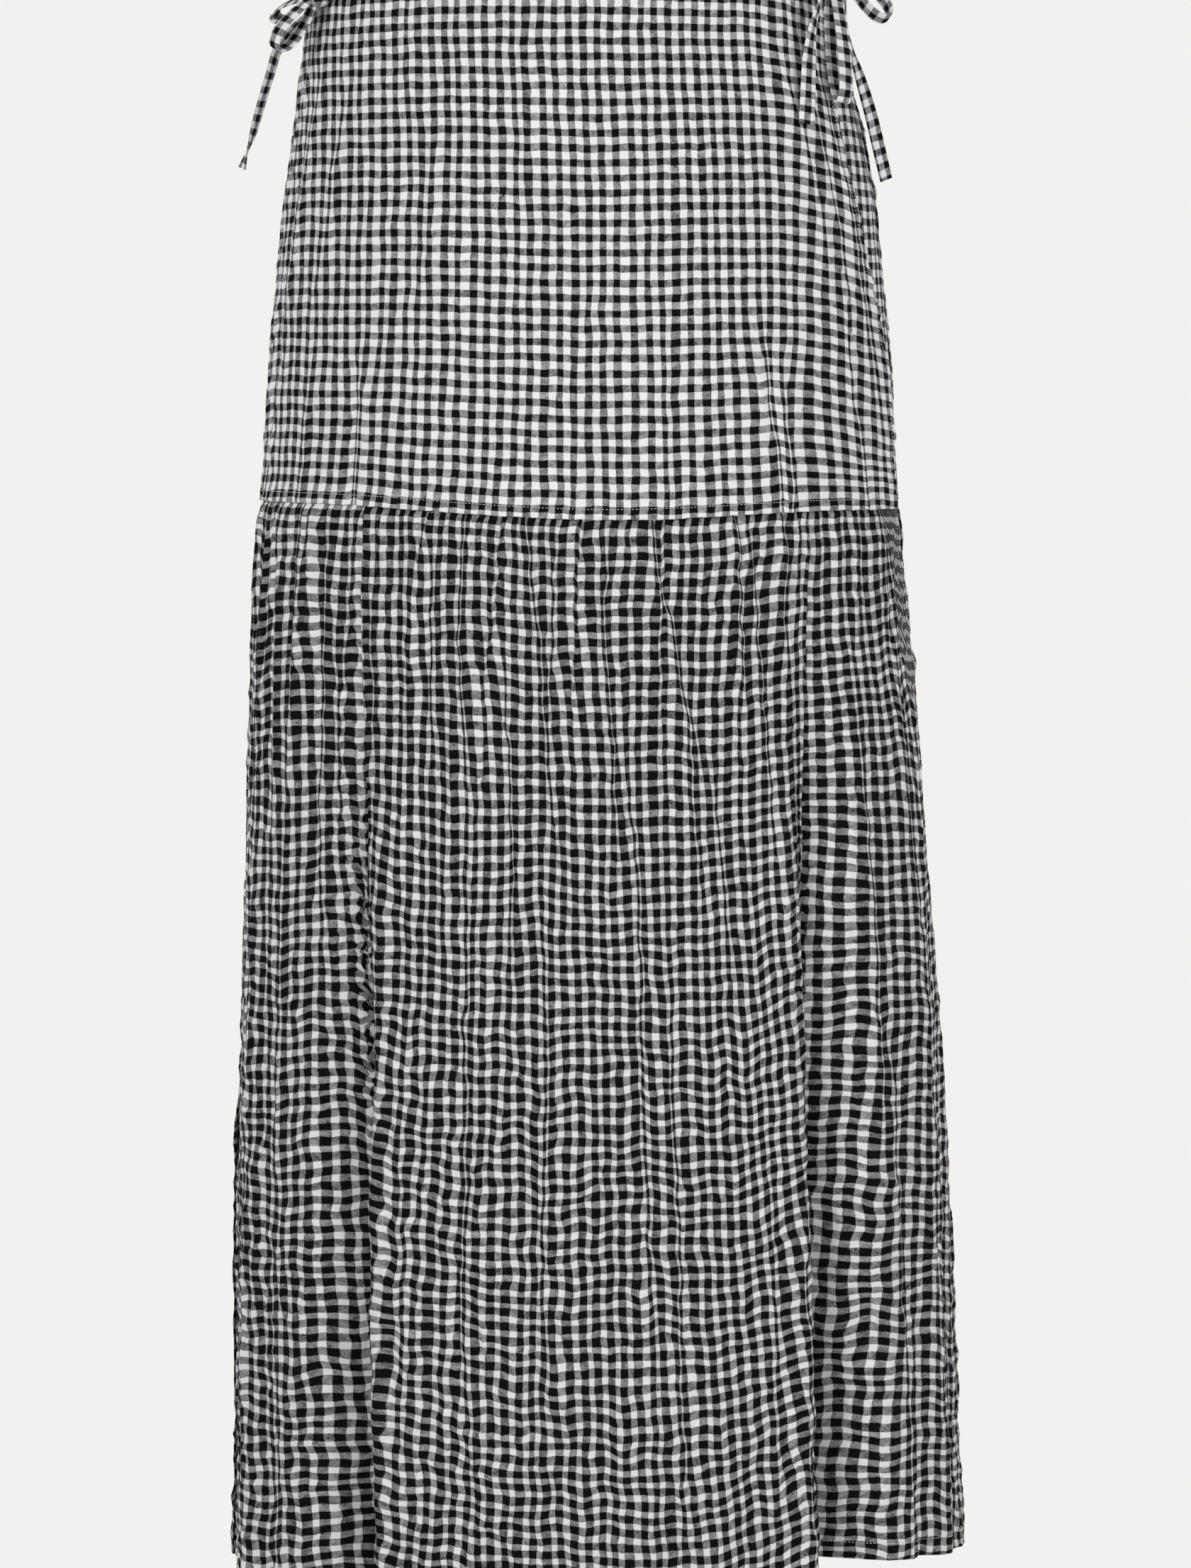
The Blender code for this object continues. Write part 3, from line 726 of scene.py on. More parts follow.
def sheet_of_cloth(name, turn, drop, checks, skin, turns_in, material=cotton, crumpled=None):
    """A thin sheet on a layer's outer face, its four edges (start, end, top, bottom) turned in, with
    how crumpled it is as an attribute."""
    i, past_i = past_edges(turn.shape[0], *turns_in[:2])
    j, past_j = past_edges(turn.shape[1], *turns_in[2:])
    aside, in_i = turned(past_i)
    below, in_j = turned(past_j)
    turn, drop, checks = (grid[i][:, j] for grid in (turn, drop, checks))
    checks = checks + np.stack(np.broadcast_arrays(past_i[:, None], -past_j[None, :]), -1) / CHECK
    turn = turn + aside[:, None] / stride(turn, drop)
    drop = drop + below[None, :]
    points = on_skin(skin, turn, drop, in_i[:, None] + in_j[None, :])
    faces = quads(np.arange(turn.size).reshape(turn.shape))
    places = checks.reshape(-1, 2)[faces.ravel()]
    piece = surface("cloth_" + name, points, faces.tolist(), material, places)
    if crumpled is not None:
        share = np.clip(crumpled(turn, drop), 0, 1).astype(np.float32)
        kept = piece.data.attributes.new("crumpled", "FLOAT", "POINT")
        kept.data.foreach_set("value", share.ravel())
    dressed(piece, name)
    return piece


YOKE_PERIOD = table(
    "drop  period",
    (0.04, 0.00790),
    (0.18, 0.00810),
    (0.28, 0.00832),
    (0.34, 0.00862),
)
YOKE_CREASES = table(
    CREASES,
    (-43.0, 0.235, 0.400, -1.0, -0.0016, 0.0030, 1.3),
    (-52.0, 0.080, 0.250, -7.0, 0.0010, 0.0045, 0.5),
    (-63.0, 0.060, 0.240, -9.0, 0.0012, 0.0040, 0.6),
    (-70.0, 0.100, 0.330, -6.0, -0.0012, 0.0030, 0.9),
    (-78.0, 0.150, 0.380, -4.0, 0.0012, 0.0028, 0.9),
    (-57.0, 0.230, 0.390, -3.0, 0.0008, 0.0030, 0.5),
    (-30.0, 0.110, 0.250, 2.0, 0.0006, 0.0045, 0.3),
    (-12.0, 0.050, 0.190, 1.0, 0.0005, 0.0060, 0.2),
    (16.0, 0.210, 0.370, -1.0, 0.0006, 0.0050, 0.3),
    (34.5, 0.215, 0.400, 3.0, -0.0016, 0.0028, 1.2),
    (38.5, 0.235, 0.400, 0.5, 0.0012, 0.0024, 0.9),
    (46.0, 0.060, 0.230, 7.0, 0.0010, 0.0035, 0.6),
    (52.0, 0.050, 0.270, 8.0, -0.0012, 0.0028, 0.9),
    (56.5, 0.045, 0.300, 9.0, 0.0014, 0.0025, 1.0),
    (60.0, 0.070, 0.330, 9.0, -0.0010, 0.0022, 0.8),
    (55.0, 0.190, 0.390, 6.0, 0.0012, 0.0030, 0.7),
)
BACK_YOKE_CREASES = table(
    CREASES,
    (104.0, 0.060, 0.260, 4.0, 0.0012, 0.0035, 0.7),
    (113.0, 0.120, 0.380, 2.0, -0.0012, 0.0030, 0.8),
    (131.0, 0.050, 0.190, -3.0, 0.0009, 0.0045, 0.4),
    (140.0, 0.230, 0.400, 1.0, -0.0015, 0.0030, 1.1),
    (165.0, 0.090, 0.240, 2.0, 0.0006, 0.0060, 0.3),
    (196.0, 0.200, 0.390, -1.0, 0.0008, 0.0045, 0.4),
    (221.0, 0.225, 0.400, 1.0, -0.0015, 0.0028, 1.1),
    (236.0, 0.050, 0.230, 4.0, 0.0010, 0.0040, 0.5),
    (251.0, 0.080, 0.330, 5.0, -0.0012, 0.0030, 0.8),
    (260.0, 0.150, 0.380, 2.0, 0.0012, 0.0028, 0.8),
)
UNDER_YOKE_CREASES = table(
    CREASES,
    (-60.0, 0.080, 0.300, 3.0, -0.0008, 0.0040, 0.5),
    (-25.0, 0.060, 0.260, -2.0, -0.0008, 0.0050, 0.4),
    (12.0, 0.150, 0.350, 2.0, -0.0008, 0.0050, 0.4),
    (44.0, 0.060, 0.280, 4.0, -0.0009, 0.0040, 0.6),
    (80.0, 0.060, 0.220, 2.0, -0.0004, 0.0030, 0.5),
)


def yoke_crinkles(turn, drop, seed):
    """The smooth cloth's own unevenness: faint upright crests, and stronger ones at the sides."""
    metres = np.radians(turn) * YOKE_RADIUS
    side = smooth((30 - from_side(turn)) / 26)
    crinkles = 0.0005 * ridged(metres / 0.013 + drop / 0.2, drop / 0.050, seed)
    crinkles += 0.0002 * ripple(metres / 0.006, drop / 0.010, seed + 1)
    crinkles += 0.0013 * side * ridged(metres / 0.010 + drop / 0.035, drop / 0.035, seed + 2)
    return crinkles + 0.0006 * side * ripple(metres / 0.006 - drop / 0.02, drop / 0.009, seed + 3)


def yoke_edge(turn):
    """The drop of the yoke's folded edge, less its round: the seam, made lumpy by the gathers."""
    lumps = ripple(turn / 1.7, 0.5, 24) + 0.5 * ripple(turn / 0.8, 0.5, 25)
    return seam_drop(turn) - FOLD_ROUND + 0.0004 * lumps


def seam_puckers(turn, drop, seed):
    """Small upright puckers where the gathers pull on the yoke's lower edge."""
    fine = ripple(np.radians(turn) * YOKE_RADIUS / 0.0042, 0.5, seed)
    return 0.0004 * (1 + fine) * bell((seam_drop(turn) - drop) / 0.007)


def yoke_skin(turn, drop):
    """The outer yoke's face: crinkles, creases, puckers at the seam, and a rippled free edge."""
    marks, _ = crease_marks(YOKE_CREASES, turn, drop, 31)
    relief = yoke_crinkles(turn, drop, 21) + marks + seam_puckers(turn, drop, 26)
    edge = to_edge(turn, drop)
    wavy = 0.0012 * (1 + ripple(drop / 0.009, 0.3, 27)) * bell(edge / 0.009)
    wavy = wavy + 0.0006 * ripple(drop / 0.0036, edge / 0.008, 34) * bell(edge / 0.007)
    return outer_off(turn), np.maximum(relief + CLEAR, 0.0) + wavy, False


def back_yoke_skin(turn, drop):
    """The back yoke's face, with creases of the same kind, and close to the form where the free
    edge of the tier begins to pass over it."""
    marks, _ = crease_marks(BACK_YOKE_CREASES, turn, drop, 32)
    relief = yoke_crinkles(turn, drop, 41) + marks + seam_puckers(turn, drop, 46)
    clear = 1 - 0.7 * smooth((112 - turn) / 8) * smooth((drop - 0.25) / 0.05)
    return back_off(turn), clear * np.maximum(relief + CLEAR, 0.0), False


def under_yoke_skin(turn, drop):
    """The hidden front's face, pressed inwards only, so that it clears the outer one. Past the
    free edge, where it shows, it is as crinkled as the rest."""
    metres = np.radians(turn) * YOKE_RADIUS
    shown = smooth((turn - 64) / 8)
    crinkles = -0.0004 * ridged(metres / 0.011, drop / 0.030, 28)
    crinkles -= 0.0006 * shown * ridged(metres / 0.008 - drop / 0.04, drop / 0.020, 29)
    marks, _ = crease_marks(UNDER_YOKE_CREASES, turn, drop, 33)
    return under_off(turn), crinkles + marks, False


def wandering(u, v, seed, across, down):
    """Checks with columns of uneven width that stay long the same, rows that wave broadly, and
    short kinks in both."""
    long, kinks = ripple(u / 0.9, v / 14.0, seed), ripple(u / 1.3, v / 1.7, seed + 1)
    broad, bumps = ripple(u / 9.0, v / 12.0, seed + 2), ripple(u / 1.2, v / 1.1, seed + 3)
    return u + across * (1.3 * long + 0.5 * kinks), v + down * (1.6 * broad + 0.7 * bumps)


def read_at(place, turn, values):
    """Values over a grid, read at one turn for each of its levels."""
    return np.array([np.interp(place, turn[:, j], values[:, j]) for j in range(turn.shape[1])])


# Beyond WIDER_FROM the outer yoke's columns are laid wider by a share, and the hidden yoke counts
# its depth for less: the skirt looks flatter at its side than the form. Both also follow relief.
WIDER_FROM = 42
WIDER_BY = 0.22
UNDER_FLATTER = (1.0, 0.7, 1.0)
RELIEF_TO_COLUMNS = 170
RELIEF_TO_ROWS = 110


def yoke_checks(turn, drop, skin, middle, creases, seed, edge=None):
    """Columns counted over the form from the middle of each level and shifted a little by the
    relief, rows counted up from the seam. Where the wrap's free edge is given, columns squeeze
    together before it and run along it, and the rows fall towards it."""
    off, relief, under = skin(turn, drop)
    points = form(turn, drop, off, under)
    if skin is under_yoke_skin:
        points = points * UNDER_FLATTER
    metres = walked(points, 0)
    if edge is not None:
        metres = metres - WIDER_BY * np.maximum(metres - read_at(WIDER_FROM, turn, metres), 0)
    period = along(drop, YOKE_PERIOD["drop"], YOKE_PERIOD["period"])
    u = (metres - read_at(middle, turn, metres)) / period
    _, taken = crease_marks(creases, turn, drop, seed)
    u = u + taken - read_at(middle, turn, taken)
    u = u + RELIEF_TO_COLUMNS * relief
    share = (seam_drop(turn) - drop) / (seam_drop(turn) - BAND_DEEP)
    v = YOKE_ROWS * share + RELIEF_TO_ROWS * relief
    if edge is not None:
        squeezed = smooth((turn - WIDER_FROM) / (turn[-1] - WIDER_FROM)) ** 1.5
        u = u + (u[-1].max() - u[-1]) * squeezed * edge
        v = v + 1.3 * smooth((turn - 34) / 40) * smooth(share / 0.12)
    return np.stack(wandering(u, v, seed, 0.085, 0.07), -1)


def line_on(skin, turn, drop):
    """Points and normals of a line on a layer's face."""
    off, _, under = skin(turn, drop)
    return on_skin(skin, turn, drop), outward(turn, drop, off, under)


def across_line(skin, start, end, drops, count=900):
    """A line round the skirt between two turns, at a drop for each turn."""
    turn = np.linspace(start, end, count)
    return line_on(skin, turn, drops(turn))


def down_line(skin, top, bottom, turns, count=900):
    """A line down the skirt between two drops, at a turn for each drop."""
    drop = np.linspace(top, bottom, count)
    return line_on(skin, turns(drop), drop)


def beside_edge(drop):
    """The turn of the stitches along the free edge."""
    edge = edge_turn(drop)
    return edge - (EDGE_HEM - 0.0007) / stride(edge, drop)


def over_seam(turn):
    """The drop of the stitches above the yoke's seam."""
    return seam_drop(turn) - STITCH_UP


# Each yoke piece: its two edges, its grid, its face, the turn its columns are counted from, its
# creases, how far they squeeze at the free edge, its turned-in ends, where its stitches start and
# end, and the width, height and area that it is cut to
SIDE_MARGIN = 1.2
SEAM_END = edge_turn(np.array([0.332]))[0] - 3.0
yoke_top = fixed(BAND_DEEP + 0.5 * GAP + FOLD_ROUND)
yoke_pieces = (
    (
        "outer_front", fixed(LEFT_SIDE), edge_turn, (312, 190), yoke_skin, 0.0, YOKE_CREASES, 0.25,
        (ALLOWANCE, EDGE_HEM), (LEFT_SIDE + SIDE_MARGIN, SEAM_END), (0.486, 0.312), 0.1355,
    ),
    (
        "back", fixed(RIGHT_SIDE), fixed(LEFT_SIDE + 360), (200, 120), back_yoke_skin, 180.0,
        BACK_YOKE_CREASES, None, (ALLOWANCE, ALLOWANCE),
        (RIGHT_SIDE + SIDE_MARGIN, LEFT_SIDE + 360 - SIDE_MARGIN), (0.520, 0.312), 0.1485,
    ),
    (
        "under_front", fixed(UNDER_END), fixed(RIGHT_SIDE), (150, 100), under_yoke_skin, 0.0,
        UNDER_YOKE_CREASES, None, (EDGE_HEM, ALLOWANCE), (UNDER_END + 3, RIGHT_SIDE - SIDE_MARGIN),
        (0.503, 0.312), 0.1435,
    ),
)
for seed, row in enumerate(yoke_pieces):
    layer, start, end, (across, down), skin, middle, creases, edge, ends, sewn, flat, area = row
    shares, rows = np.linspace(0, 1, across + 1), np.linspace(0, 1, down)
    turn, drop = panel_grid(start, end, shares, rows, yoke_top, yoke_edge)
    checks = yoke_checks(turn, drop, skin, middle, creases, 31 + seed, edge)
    turns_in = (*ends, ALLOWANCE, YOKE_LOWER_EDGE)
    piece = sheet_of_cloth("yoke_" + layer, turn, drop, checks, skin, turns_in)
    lines = [across_line(skin, *sewn, over_seam)]
    if edge is not None:
        lines.append(down_line(skin, BAND_DEEP + 0.003, 0.331, beside_edge))
    stitched = stitching("topstitch_yoke_" + layer, lines)


# Tier: the gathered lower skirt, straight panels drawn up to the yoke and joined along seams that
# lie in the deep folds. Its hem is turned up once; the last panel's free edge is a narrow hem.
# Its rows of checks, the length it is cut to, its mean radius, and the hem's turning
TIER_ROWS = 76.5
TIER_LONG = 0.658
TIER_RADIUS = 0.18
HEM_UP = 0.011
# A gather's half width in degrees, and the drop over which it rises from the seam
GATHER_WIDE = 1.35
GATHER_RISE = 0.010
FRONT_GATHERS = table(
    "turn  high    reach",
    (-35.4, 0.0016, 0.060),
    (-30.0, 0.0019, 0.085),
    (-25.6, 0.0015, 0.060),
    (-21.5, 0.0026, 0.150),
    (-17.4, 0.0022, 0.105),
    (-13.4, 0.0016, 0.070),
    (-9.2, 0.0025, 0.130),
    (-4.3, 0.0021, 0.160),
    (-0.9, 0.0018, 0.090),
    (1.9, 0.0015, 0.070),
    (4.8, 0.0026, 0.170),
    (7.3, 0.0020, 0.100),
    (10.1, 0.0024, 0.140),
    (12.6, 0.0016, 0.075),
    (16.0, 0.0022, 0.120),
    (19.4, 0.0014, 0.060),
    (23.0, 0.0022, 0.090),
    (26.0, 0.0015, 0.070),
    (28.9, 0.0026, 0.130),
    (32.2, 0.0020, 0.110),
    (36.6, 0.0015, 0.070),
)
SIDE_GATHERS = table(
    "start  end  count",
    (-86, -45, 8),
    (48, 70, 5),
    (114, 134, 5),
    (141, 219, 16),
    (227, 266, 8),
)
TIER_CREASES = table(
    CREASES,
    (-66.0, 0.300, 0.560, 2.0, 0.0014, 0.0024, 0.9),
    (-57.0, 0.290, 0.460, 0.5, 0.0012, 0.0020, 0.8),
    (-48.9, 0.330, 0.620, 0.0, -0.0015, 0.0020, 0.9),
    (-45.5, 0.370, 0.600, 0.5, 0.0012, 0.0022, 0.6),
    (-37.5, 0.370, 0.500, 0.5, 0.0010, 0.0020, 0.6),
    (-25.7, 0.330, 0.500, 0.5, -0.0012, 0.0018, 0.8),
    (-20.8, 0.300, 0.520, 2.4, 0.0018, 0.0020, 1.0),
    (-19.0, 0.440, 0.990, -0.5, -0.0016, 0.0040, 0.9),
    (-12.0, 0.390, 0.620, 0.3, -0.0012, 0.0018, 0.8),
    (-10.0, 0.290, 0.560, 7.5, 0.0018, 0.0026, 1.0),
    (-6.4, 0.520, 0.900, -0.6, 0.0014, 0.0035, 0.7),
    (-4.6, 0.330, 0.480, 0.3, 0.0012, 0.0018, 0.7),
    (3.8, 0.320, 0.560, 2.5, 0.0014, 0.0022, 0.9),
    (7.4, 0.400, 0.900, 3.0, -0.0016, 0.0035, 0.9),
    (9.0, 0.290, 0.500, 12.5, 0.0018, 0.0024, 1.2),
    (13.9, 0.560, 0.990, -0.5, 0.0018, 0.0034, 0.9),
    (17.5, 0.420, 0.580, 1.5, 0.0012, 0.0022, 0.7),
    (22.3, 0.460, 0.620, 0.5, 0.0012, 0.0020, 0.7),
    (25.8, 0.290, 0.470, 3.5, 0.0015, 0.0016, 1.1),
    (28.5, 0.310, 0.560, 5.5, 0.0015, 0.0018, 1.1),
    (35.5, 0.290, 0.460, 3.0, 0.0012, 0.0018, 0.9),
    (-29.5, 0.620, 0.960, -1.5, 0.0014, 0.0045, 0.6),
    (29.0, 0.660, 0.960, 1.0, 0.0014, 0.0045, 0.6),
    (36.0, 0.700, 0.990, -1.5, 0.0020, 0.0026, 1.2),
    (38.5, 0.780, 0.990, 1.5, -0.0012, 0.0022, 1.0),
    (-36.0, 0.600, 0.990, 1.5, 0.0018, 0.0030, 1.0),
    (53.0, 0.430, 0.760, 1.5, 0.0014, 0.0024, 0.9),
    (56.5, 0.600, 0.900, 2.5, -0.0014, 0.0030, 0.9),
    (70.0, 0.400, 0.780, 4.0, 0.0014, 0.0028, 0.9),
    (64.0, 0.300, 0.440, 3.0, 0.0012, 0.0018, 0.9),
    (80.0, 0.620, 0.990, 2.0, -0.0012, 0.0030, 0.8),
)
BACK_TIER_CREASES = table(
    CREASES,
    (101.0, 0.380, 0.700, 1.0, 0.0009, 0.0026, 0.7),
    (111.0, 0.300, 0.560, 2.0, 0.0012, 0.0022, 0.8),
    (127.0, 0.300, 0.620, 2.0, -0.0014, 0.0024, 0.9),
    (131.0, 0.560, 0.990, -1.0, 0.0016, 0.0035, 0.8),
    (145.0, 0.290, 0.480, 3.0, 0.0014, 0.0020, 0.9),
    (150.5, 0.420, 0.900, 1.5, -0.0016, 0.0035, 0.9),
    (161.0, 0.290, 0.530, -3.5, 0.0016, 0.0024, 1.0),
    (168.0, 0.560, 0.990, 1.0, 0.0016, 0.0040, 0.8),
    (173.0, 0.300, 0.460, 1.0, 0.0013, 0.0020, 0.8),
    (186.0, 0.290, 0.600, 5.0, 0.0016, 0.0026, 1.0),
    (193.0, 0.480, 0.960, -1.5, -0.0016, 0.0035, 0.9),
    (199.0, 0.290, 0.440, 2.0, 0.0013, 0.0020, 0.8),
    (209.0, 0.300, 0.560, 3.5, 0.0015, 0.0022, 1.0),
    (214.0, 0.560, 0.990, 1.0, 0.0016, 0.0034, 0.8),
    (230.0, 0.370, 0.640, 0.5, -0.0014, 0.0024, 0.8),
    (238.0, 0.290, 0.470, 2.5, 0.0014, 0.0020, 0.9),
    (250.0, 0.420, 0.860, 2.0, 0.0014, 0.0030, 0.8),
    (257.0, 0.300, 0.520, 1.5, 0.0012, 0.0022, 0.8),
    (264.0, 0.560, 0.960, -1.0, -0.0012, 0.0028, 0.8),
)


def gather_rows():
    """All gathers: the front's own, and uneven rows on the sides and the back, each at its pitch
    with a sine's shift, height and reach."""
    rows = [np.stack([FRONT_GATHERS[name] for name in ("turn", "high", "reach")], 1)]
    for start, end, count in zip(*SIDE_GATHERS.values()):
        k = np.arange(int(count))
        pitch = (end - start) / count
        turn = start + pitch * (k + 0.5 + 0.22 * np.sin(2.4 * k + start))
        high = 0.0020 + 0.0006 * np.sin(1.7 * k + end)
        reach = 0.110 + 0.045 * np.sin(2.9 * k + start)
        rows.append(np.stack([turn, high, reach], 1))
    return np.concatenate(rows)


GATHERS = gather_rows()


def below_seam(turn, drop):
    """Metres of drop below the yoke's seam."""
    return np.maximum(drop - seam_drop(turn), 0)


def gathered(turn, drop):
    """Height of the gathers: a bell across each, rising below the seam and fading by its reach."""
    below = below_seam(turn, drop)
    rise = 1 - np.exp(-below / GATHER_RISE)
    high = np.zeros(np.broadcast(turn, drop).shape)
    for at, height, reach in GATHERS:
        high = high + height * bell((turn - at) / GATHER_WIDE) * rise * bell(below / reach)
    return high


def crests(turn, drop):
    """How much a place is on a gather's crest, from 0 in a valley to 1, where gathers are close."""
    below = below_seam(turn, drop)
    share = np.zeros(turn.shape)
    for at, _, reach in GATHERS:
        share = share + bell((turn - at) / GATHER_WIDE) * bell(below / (1.3 * reach))
    return np.clip(share, 0, 1)


def columns(start, end, count, even, samples=801):
    """Shares from 0 to 1, spaced partly evenly and partly by the length round the folds."""
    fine = np.linspace(start, end, samples)
    steps = np.linalg.norm(np.diff(form(fine, LOW + 0 * fine), axis=0), axis=1)
    steps = np.concatenate([[0], np.cumsum(steps)]) / steps.sum()
    shares = np.linspace(0, 1, samples)
    return np.interp(np.linspace(0, 1, count + 1), even * shares + (1 - even) * steps, shares)


TUCK_COUNT = 188


def tuck_rows():
    """Fine tucks between the gathers: turn, height, half width, reach, lean, and the checks each
    hides. One every 1.9 degrees, varied by sines that don't repeat together; one in six is strong.
    """
    k = np.arange(TUCK_COUNT)
    strong = np.maximum(np.sin(2.7 * k + 0.4), 0) ** 3
    turn = LEFT_SIDE + 360 * (k + 0.42 * np.sin(1.9 * k) + 0.2 * np.sin(5.3 * k)) / TUCK_COUNT
    high = 0.0003 + 0.0007 * strong
    wide = 0.0016 + 0.0004 * np.sin(3.7 * k + 1.0)
    reach = np.maximum(0.050 + 0.045 * np.sin(4.1 * k + 2.0) + 0.060 * strong, 0.016)
    lean = 1.6 * np.sin(0.9 * k) + 4.5 * np.sin(np.radians(turn)) * np.abs(np.cos(np.radians(turn)))
    return np.stack([turn, high, wide, reach, lean, 0.04 + 0.5 * strong], 1)


TUCKS = tuck_rows()


def tuck_line(k, at, lean, drop, below):
    """The turn of one tuck's middle down the cloth: it leans, wanders and kinks."""
    return at + lean * below / 0.12 + stray(k, drop, 0.8, 0.030, 0.010, (57, 59))


def near_tuck(at, turn):
    """The grid's columns within 9 degrees of a tuck, or all of a line."""
    if turn.ndim == 1:
        return np.ones(len(turn), bool)
    return np.abs(turn[:, turn.shape[1] // 2] - at) < 9


def tucks(turn, drop):
    """Relief of the fine tucks: narrow bells across that lean outwards and fade by their reach."""
    below = below_seam(turn, drop)
    metres = stride(turn, drop)
    relief = np.zeros(turn.shape)
    for k, (at, high, wide, reach, lean, _) in enumerate(TUCKS):
        near = near_tuck(at, turn)
        line = tuck_line(k, at, lean, drop[near], below[near])
        away = (turn[near] - line) * metres[near] / (wide * (1 + 4 * below[near]))
        relief[near] += high * np.exp(-(away**2) - (below[near] / reach) ** 2)
    return relief * (0.35 + 0.65 * smooth(below / 0.008))


def by_seam(turn, drop):
    """How near a place is to a panel's join or to the side, where the lower cloth is crumpled in
    zigzags, 0 to 1."""
    near = 0.2 * bell(from_side(turn) / 12)
    for fold in (LEFT_FOLD, RIGHT_FOLD, BACK_RIGHT_FOLD, BACK_LEFT_FOLD):
        near = near + bell(((turn - fold_line(fold)(drop)) * stride(turn, drop) + 0.007) / 0.010)
    return near * smooth((drop - 0.43) / 0.24) * (0.75 + 0.25 * ripple(drop / 0.04, turn / 6, 60))


def tier_relief(turn, drop, creases, seed):
    """Fine tucks from the seam, upright crests that widen downwards, low down also slanting and
    level puckers, stronger ones at the sides, and the listed creases."""
    metres = np.radians(turn) * TIER_RADIUS
    below = below_seam(turn, drop)
    low = smooth((drop - 0.46) / 0.30)
    side = smooth((38 - from_side(turn)) / 26)
    broad = smooth((below - 0.02) / 0.06)
    # Each row: height, where, width, drop for one width of slant, length, and its seed's step
    relief = 0.00022 * ripple(metres / 0.005, drop / 0.007, seed + 5)
    for high, where, wide, slant, long, step in (
        (0.0007, 1, 0.014, 0.5, 0.075, 0),
        (0.0009, 1, 0.0075, -0.3, 0.034, 1),
        (0.0016, broad, 0.030, 0.7, 0.16, 6),
        (0.0011, low, 0.018, 0.07, 0.017, 2),
        (0.0008, low, 0.013, -0.05, 0.021, 3),
        (0.0009, side, 0.011, 0.035, 0.020, 4),
        (0.0014, by_seam(turn, drop), 0.012, 0.017, 0.012, 7),
    ):
        relief += high * where * ridged(metres / wide + drop / slant, drop / long, seed + step)
    marks, _ = crease_marks(creases, turn, drop, seed)
    relief = tucks(turn, drop) + relief * (0.2 + 0.8 * smooth(below / 0.015)) + marks
    return relief - 0.0010 * bell(below / 0.0022)


def overlap(turn, drop, left, right):
    """A step at the joins: the middle panel's edges stand up, lumpy, and the next ones dip."""
    relief = 0
    for fold, sign in ((left, 1), (right, -1)):
        away = sign * (turn - fold_line(fold)(drop)) * stride(turn, drop)
        lumps = 0.0004 * ripple(drop / 0.0055, 0.7 + fold, 22) * (away > 0)
        relief = relief + (0.0008 * np.tanh(away / 0.0005) + lumps) * bell(away / 0.0045)
    return relief


def beneath_yoke(turn, drop):
    """How far the tier sinks where its top runs up behind the yoke's folded edge."""
    return 0.0009 * smooth((yoke_edge(turn) + 0.5 * FOLD_ROUND - drop) / 0.0012)


# The left seam's fold is filled from a drop downwards, because the cloth there looks less deep
# than the form's fold
SEAM_FILLED = 0.0060
SEAM_FILLED_FROM = 0.42


def tier_skin(turn, drop):
    """The outer tier's face: gathers, relief, a filled left seam, and a rippled free edge."""
    relief = np.maximum(tier_relief(turn, drop, TIER_CREASES, 51) + CLEAR, 0.0)
    relief = relief + overlap(turn, drop, LEFT_FOLD, RIGHT_FOLD)
    metres = stride(turn, drop)
    seam = (fold_line(LEFT_FOLD)(drop) - turn) * metres
    relief = relief + SEAM_FILLED * smooth((drop - SEAM_FILLED_FROM) / 0.2) * bell(seam / 0.020)
    wavy = 0.0007 * (1 + ripple(drop / 0.010, 0.3, 58)) * bell(to_edge(turn, drop) / 0.009)
    aside = bell((turn - LEFT_SIDE) * metres / 0.003)
    relief = relief * (1 - aside) - 0.0012 * aside - beneath_yoke(turn, drop)
    return outer_off(turn) + gathered(turn, drop), relief + wavy, False


def back_tier_skin(turn, drop):
    """The back tier's face. Under the wrap's free edge it keeps close to the form."""
    relief = np.maximum(tier_relief(turn, drop, BACK_TIER_CREASES, 66) + CLEAR, 0.0)
    relief = relief + overlap(turn, drop, BACK_RIGHT_FOLD, BACK_LEFT_FOLD)
    wrapped = smooth((edge_turn(drop) + 6 - turn) / 6)
    relief = relief * (1 - 0.85 * wrapped) - beneath_yoke(turn, drop)
    return back_off(turn) + gathered(turn, drop), relief, False


def under_tier_skin(turn, drop):
    """The hidden tier's face, pressed inwards only, so that it clears the outer one."""
    metres = np.radians(turn) * TIER_RADIUS
    crinkles = -0.0007 * ridged(metres / 0.012, drop / 0.045, 76)
    low = smooth((drop - 0.5) / 0.3)
    crinkles -= 0.0006 * low * ridged(metres / 0.02 + drop / 0.1, drop / 0.03, 77)
    return under_off(turn), crinkles - beneath_yoke(turn, drop), True


def tuck_marks(turn, drop):
    """Checks hidden by the fine tucks, given back round them, and how the rows slip over them."""
    below = below_seam(turn, drop)
    metres = stride(turn, drop)
    taken, slip = np.zeros(turn.shape), np.zeros(turn.shape)
    for k, (at, _, wide, reach, lean, takes) in enumerate(TUCKS):
        near = near_tuck(at, turn)
        away = (turn[near] - tuck_line(k, at, lean, drop[near], below[near])) * metres[near]
        given = np.tanh(away / (0.5 * wide)) - np.tanh(away / 0.010)
        step = 0.5 * bell(below[near] / (1.4 * reach)) * given
        taken[near] += takes * step
        slip[near] += 0.6 * takes * np.sin(2.3 * k) * step
    return taken, slip


# Tier columns: fuller in the valleys below the seam, fewer towards the sides, where the skirt
# looks flatter than the form; what is over is taken up beside the free edge
FULLER = 0.5
FULLER_DOWN = 0.10
FEWER = 0.30
SQUEEZED_WIDE = 0.026


